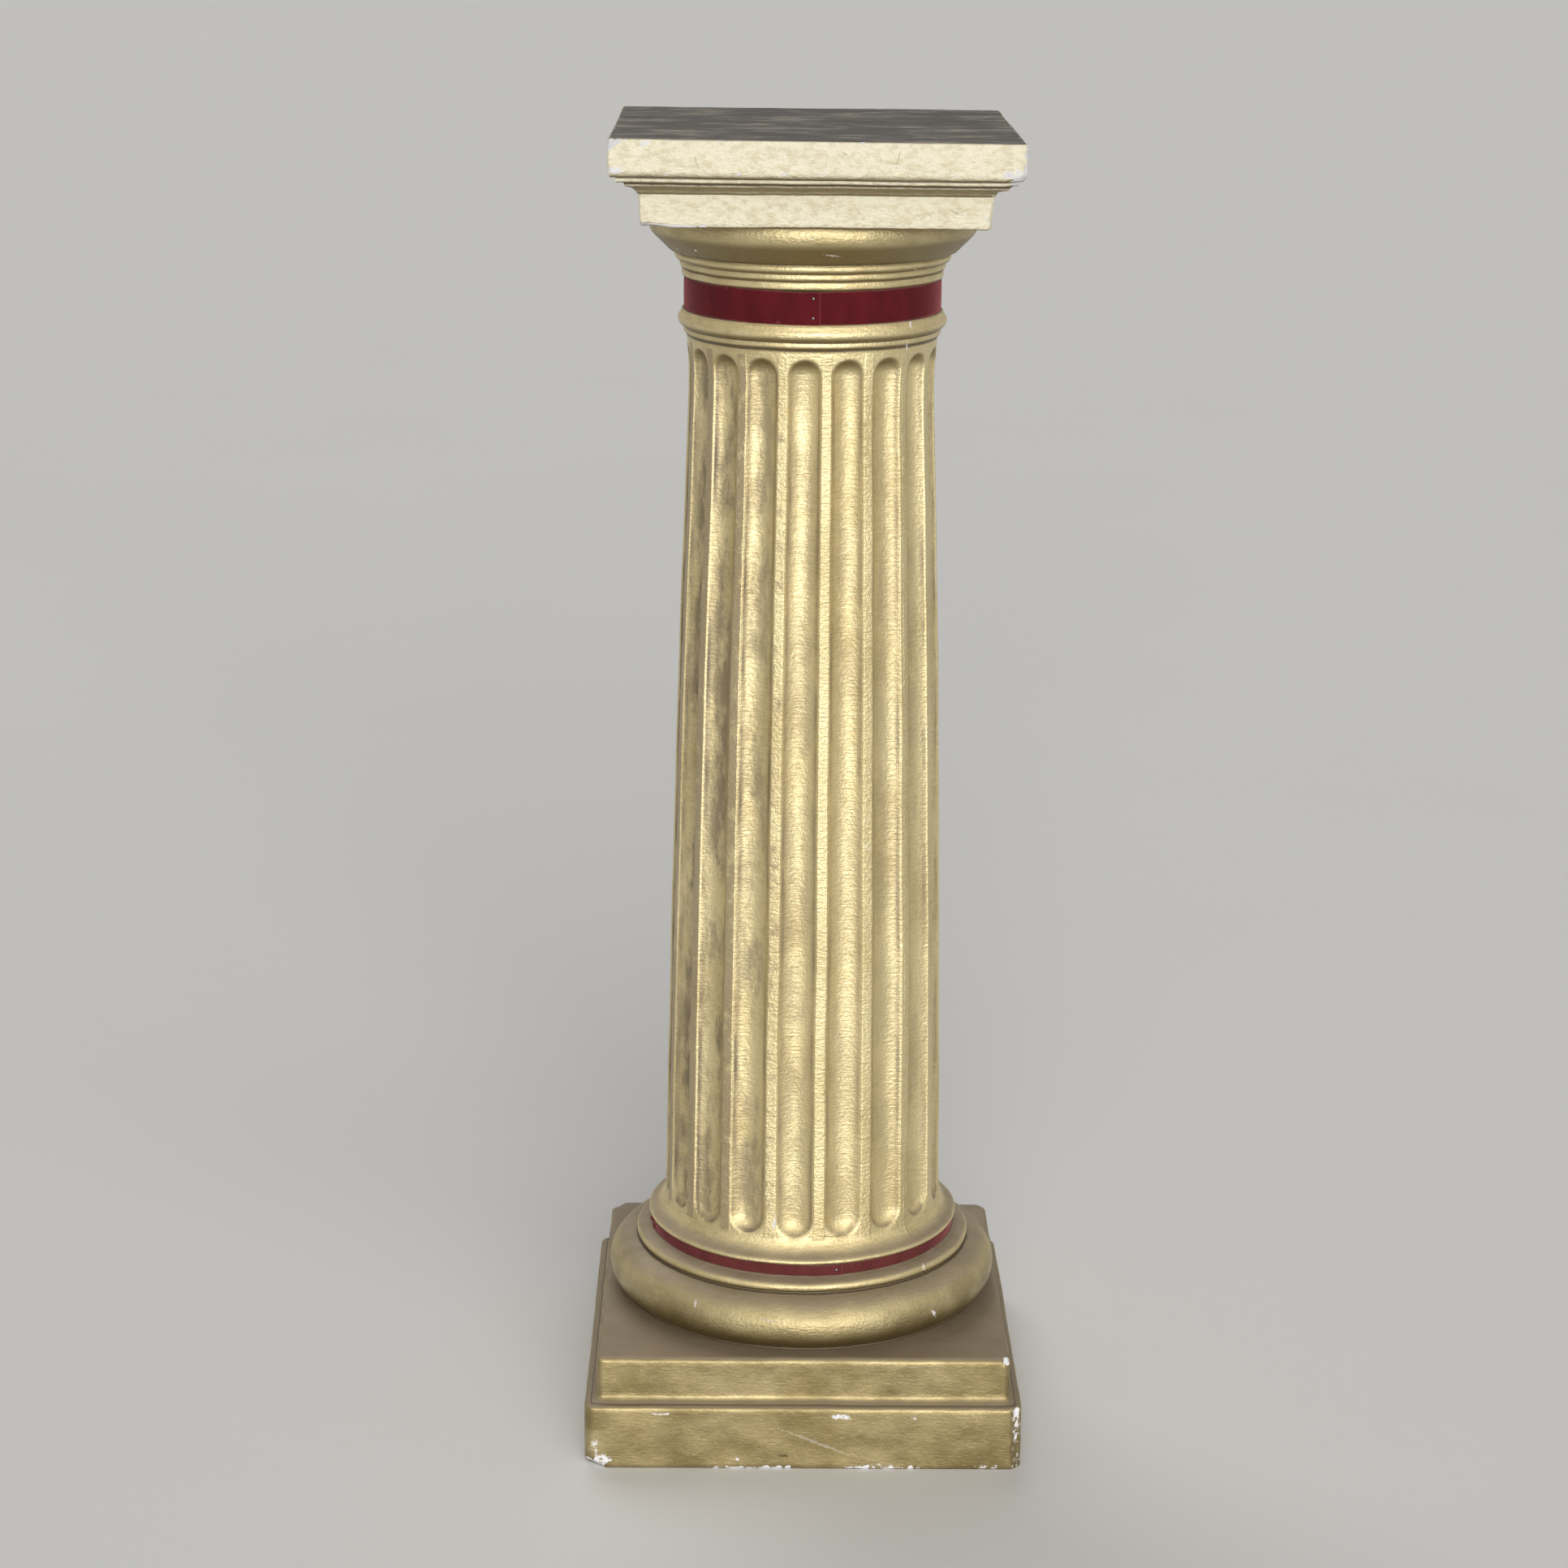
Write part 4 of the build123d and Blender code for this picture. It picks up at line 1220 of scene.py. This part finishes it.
def pin_mesh(places, head_radius):
    """Pins, each a profile of tip, shank and domed head that is turned about the line it was driven along."""
    dome = np.linspace(0, math.pi / 2, 9)
    outer = head_radius / MM
    profile = np.concatenate([
        [(0.02, -PIN_LENGTH), (PIN_SHANK, PIN_POINT - PIN_LENGTH), (PIN_SHANK, 0.02), (outer * 0.96, 0.0)],
        np.stack([outer * np.cos(dome[:-1]), PIN_HEAD_RIM + PIN_HEAD_DOME * np.sin(dome[:-1])], axis=1),
        [(0.03, PIN_HEAD_RIM + PIN_HEAD_DOME)],
    ])
    spin = run(0, math.tau, PIN_STEPS)
    across = profile[:, 0, None] * np.cos(spin)[None]
    up = profile[:, 0, None] * np.sin(spin)[None]
    along = profile[:, 1, None] + 0 * spin[None]
    points, faces = [], []
    for number, (azimuth, distance, height) in enumerate(places):
        angle = math.radians(azimuth)
        outward = np.array([math.sin(angle), -math.cos(angle), 0])
        beside = np.array([math.cos(angle), math.sin(angle), 0])
        place = (distance + along)[:, :, None] * outward + across[:, :, None] * beside
        place[:, :, 2] += height + up
        first = number * len(profile) * PIN_STEPS
        last = first + (len(profile) - 1) * PIN_STEPS
        points.append(place.reshape(-1, 3))
        faces.append(ring_faces(len(profile), PIN_STEPS, first))
        faces.append(np.arange(first, first + PIN_STEPS)[::-1][None])
        faces.append(np.arange(last, last + PIN_STEPS)[None])
    return np.concatenate(points), faces, {}


def finish_piece(made, node):
    """The piece rides with the column and stands for its node, which is hidden."""
    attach(made, BODY)
    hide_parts(node)


class COLUMN_OT_casting(bpy.types.Operator):
    """Make the plaster casting, with its flutes, chips and paint"""

    bl_idname = "column.make_casting"
    bl_label = "Make casting"

    def execute(self, context):
        points, faces, attributes = casting_mesh(context.scene.casting_sizes)
        material = gold_paint(context.scene.paint_colours)
        made = write_mesh("plaster_column", points, faces, attributes, material)
        finish_piece(made, "column_casting")
        return {"FINISHED"}


class COLUMN_OT_neck_ribbon(bpy.types.Operator):
    """Make the velvet ribbon round the neck"""

    bl_idname = "column.make_neck_ribbon"
    bl_label = "Make neck ribbon"

    def execute(self, context):
        looks = context.scene.ribbon_looks
        width, thickness = looks.neck_width / MM, looks.thickness / MM
        parts = ribbon_mesh(NECK_WALL, width, thickness, NECK_LAP_AZIMUTH, NECK_DROOP, NECK_TUFTS, 60)
        material = velvet("neck_velvet", looks.crimson, 0.3, looks)
        made = write_mesh("neck_velvet_ribbon", *parts, material)
        finish_piece(made, "neck_ribbon")
        return {"FINISHED"}


class COLUMN_OT_base_ribbon(bpy.types.Operator):
    """Make the narrow velvet ribbon round the base"""

    bl_idname = "column.make_base_ribbon"
    bl_label = "Make base ribbon"

    def execute(self, context):
        looks = context.scene.ribbon_looks
        width, thickness = looks.base_width / MM, looks.thickness / MM
        parts = ribbon_mesh(BASE_WALL, width, thickness, BASE_LAP_AZIMUTH, BASE_DROOP, BASE_KNOTS, 70)
        material = velvet("base_velvet", looks.dusty_crimson, 0.6, looks)
        made = write_mesh("base_velvet_ribbon", *parts, material)
        finish_piece(made, "base_ribbon")
        return {"FINISHED"}


class COLUMN_OT_pins(bpy.types.Operator):
    """Make the pins that hold the laps"""

    bl_idname = "column.make_pins"
    bl_label = "Make pins"

    def execute(self, context):
        looks = context.scene.ribbon_looks
        material = pin_metal(looks)
        lift = 2 * looks.thickness / MM + LAP_GAP + PIN_HEAD_GAP
        beside = PIN_SPACING / 2
        groups = (
            ("neck_pin_heads", "neck_ribbon_pins", NECK_WALL, NECK_LAP_AZIMUTH, (beside, -beside)),
            ("base_pin_head", "base_ribbon_pin", BASE_WALL, BASE_LAP_AZIMUTH, (0,)),
        )
        for name, node, wall, lap_azimuth, offsets in groups:
            radius = wall[0][0]
            azimuth = lap_azimuth - math.degrees(PIN_TO_LAP_END / radius)
            places = [(azimuth, radius + lift, middle_of(wall) + offset) for offset in offsets]
            made = write_mesh(name, *pin_mesh(places, looks.pin_radius), material)
            finish_piece(made, node)
        return {"FINISHED"}


class COLUMN_OT_stage(bpy.types.Operator):
    """Make the floor, the lamps and the camera"""

    bl_idname = "column.make_stage"
    bl_label = "Make stage"

    def execute(self, context):
        looks = context.scene.stage_looks
        make_floor(looks)
        make_world(looks)
        make_lamps(looks)
        make_camera()
        return {"FINISHED"}


def make_floor(looks):
    """A round, plain, pale floor as rings that grow outwards."""
    radius = np.array([0.0, 0.5, 1.5, 4.0, 12.0, 40.0, 120.0]) / MM
    section = np.stack([radius[1:], np.zeros(len(radius) - 1)], axis=1)
    rings = round_rings(section, np.arange(0, 360, 5.0))[::-1]
    rows, columns = rings.shape[:2]
    points = np.concatenate([rings.reshape(-1, 3), [(0, 0, 0)]])
    inner_ring = np.arange((rows - 1) * columns, rows * columns)
    faces = [ring_faces(rows, columns, 0), fan_faces(inner_ring, rows * columns, True)]
    material, tree, shader, place = new_material("pale_floor")
    cloud = noise(tree, place, 0.6, 3.0, 0.5)
    tone = mixed(tree, cloud, looks.floor, darkened(looks.floor, 0.97))
    set_inputs(tree, shader, {"Base Color": tone, "Roughness": 0.9, "Specular IOR Level": 0.1})
    write_mesh("floor", points, faces, {}, material)


def make_world(looks):
    """Soft light all round. The camera, and metal that mirrors the room, see it as a pale backdrop."""
    world = bpy.data.worlds.new("soft_room")
    world.use_nodes = True
    tree = world.node_tree
    path = add_node(tree, "ShaderNodeLightPath", {}).outputs
    seen = greater(tree, path["Is Glossy Ray"], path["Is Transmission Ray"])
    seen = greater(tree, path["Is Camera Ray"], seen)
    level = mixed_value(tree, seen, looks.world_level, looks.backdrop_level)
    set_inputs(tree, tree.nodes["Background"], {"Color": looks.backdrop, "Strength": level})
    bpy.context.scene.world = world


def make_lamps(looks):
    """Three wide distant lamps: near the camera, above it to the right, and behind."""
    target = Vector(LAMP_TARGET)
    for name, azimuth, elevation, spread in LAMPS:
        turn, rise = math.radians(azimuth), math.radians(elevation)
        way = Vector((math.sin(turn) * math.cos(rise), -math.cos(turn) * math.cos(rise), math.sin(rise)))
        lamp = bpy.data.lights.new(f"{name}_lamp", "SUN")
        lamp.energy = getattr(looks, f"{name}_level")
        lamp.angle = math.radians(spread)
        lamp.color = looks.lamplight[:3]
        made = bpy.data.objects.new(f"{name}_lamp", lamp)
        made.location = target + LAMP_DISTANCE * way
        made.rotation_euler = (-way).to_track_quat("-Z", "Y").to_euler()
        bpy.context.scene.collection.objects.link(made)


def make_camera():
    """Camera at the photograph's place and angle, from its yaw, pitch and roll."""
    yaw, pitch, roll = CAMERA_YAW, CAMERA_PITCH, CAMERA_ROLL
    ahead = Vector((math.sin(yaw) * math.cos(pitch), math.cos(yaw) * math.cos(pitch), -math.sin(pitch)))
    level = Vector((math.cos(yaw), -math.sin(yaw), 0))
    upward = level.cross(ahead)
    right = math.cos(roll) * level + math.sin(roll) * upward
    up = math.cos(roll) * upward - math.sin(roll) * level
    data = bpy.data.cameras.new("photo_camera")
    data.lens = CAMERA_LENS
    data.sensor_width = 36.0
    data.clip_end = 300.0
    made = bpy.data.objects.new("photo_camera", data)
    made.matrix_world = Matrix.Translation(CAMERA_PLACE) @ Matrix((right, up, -ahead)).transposed().to_4x4()
    bpy.context.scene.collection.objects.link(made)
    bpy.context.scene.camera = made


OPERATORS = (COLUMN_OT_casting, COLUMN_OT_neck_ribbon, COLUMN_OT_base_ribbon, COLUMN_OT_pins, COLUMN_OT_stage)
SETTINGS = {
    "casting_sizes": CastingSizes,
    "paint_colours": PaintColours,
    "ribbon_looks": RibbonLooks,
    "stage_looks": StageLooks,
}


class COLUMN_PT_parts(bpy.types.Panel):
    """Lists the operators and their settings"""

    bl_idname = "COLUMN_PT_parts"
    bl_label = "Gold plaster column"
    bl_space_type = "VIEW_3D"
    bl_region_type = "UI"
    bl_category = "Column"

    def draw(self, context):
        for operator in OPERATORS:
            self.layout.operator(operator.bl_idname)
        for name, group in SETTINGS.items():
            box = self.layout.box()
            for field in group.__annotations__:
                box.prop(getattr(context.scene, name), field)


def register():
    """Adds the settings, the operators and the panel."""
    for group in SETTINGS.values():
        bpy.utils.register_class(group)
    for name, group in SETTINGS.items():
        setattr(bpy.types.Scene, name, PointerProperty(type=group))
    for operator in OPERATORS:
        bpy.utils.register_class(operator)
    bpy.utils.register_class(COLUMN_PT_parts)


def unregister():
    """Takes away what register adds."""
    bpy.utils.unregister_class(COLUMN_PT_parts)
    for operator in reversed(OPERATORS):
        bpy.utils.unregister_class(operator)
    for name, group in SETTINGS.items():
        delattr(bpy.types.Scene, name)
        bpy.utils.unregister_class(group)


def main():
    register()
    bpy.context.scene.view_settings.view_transform = "Standard"
    for operator in OPERATORS:
        group, name = operator.bl_idname.split(".")
        getattr(getattr(bpy.ops, group), name)()


if __name__ == "__main__":
    main()
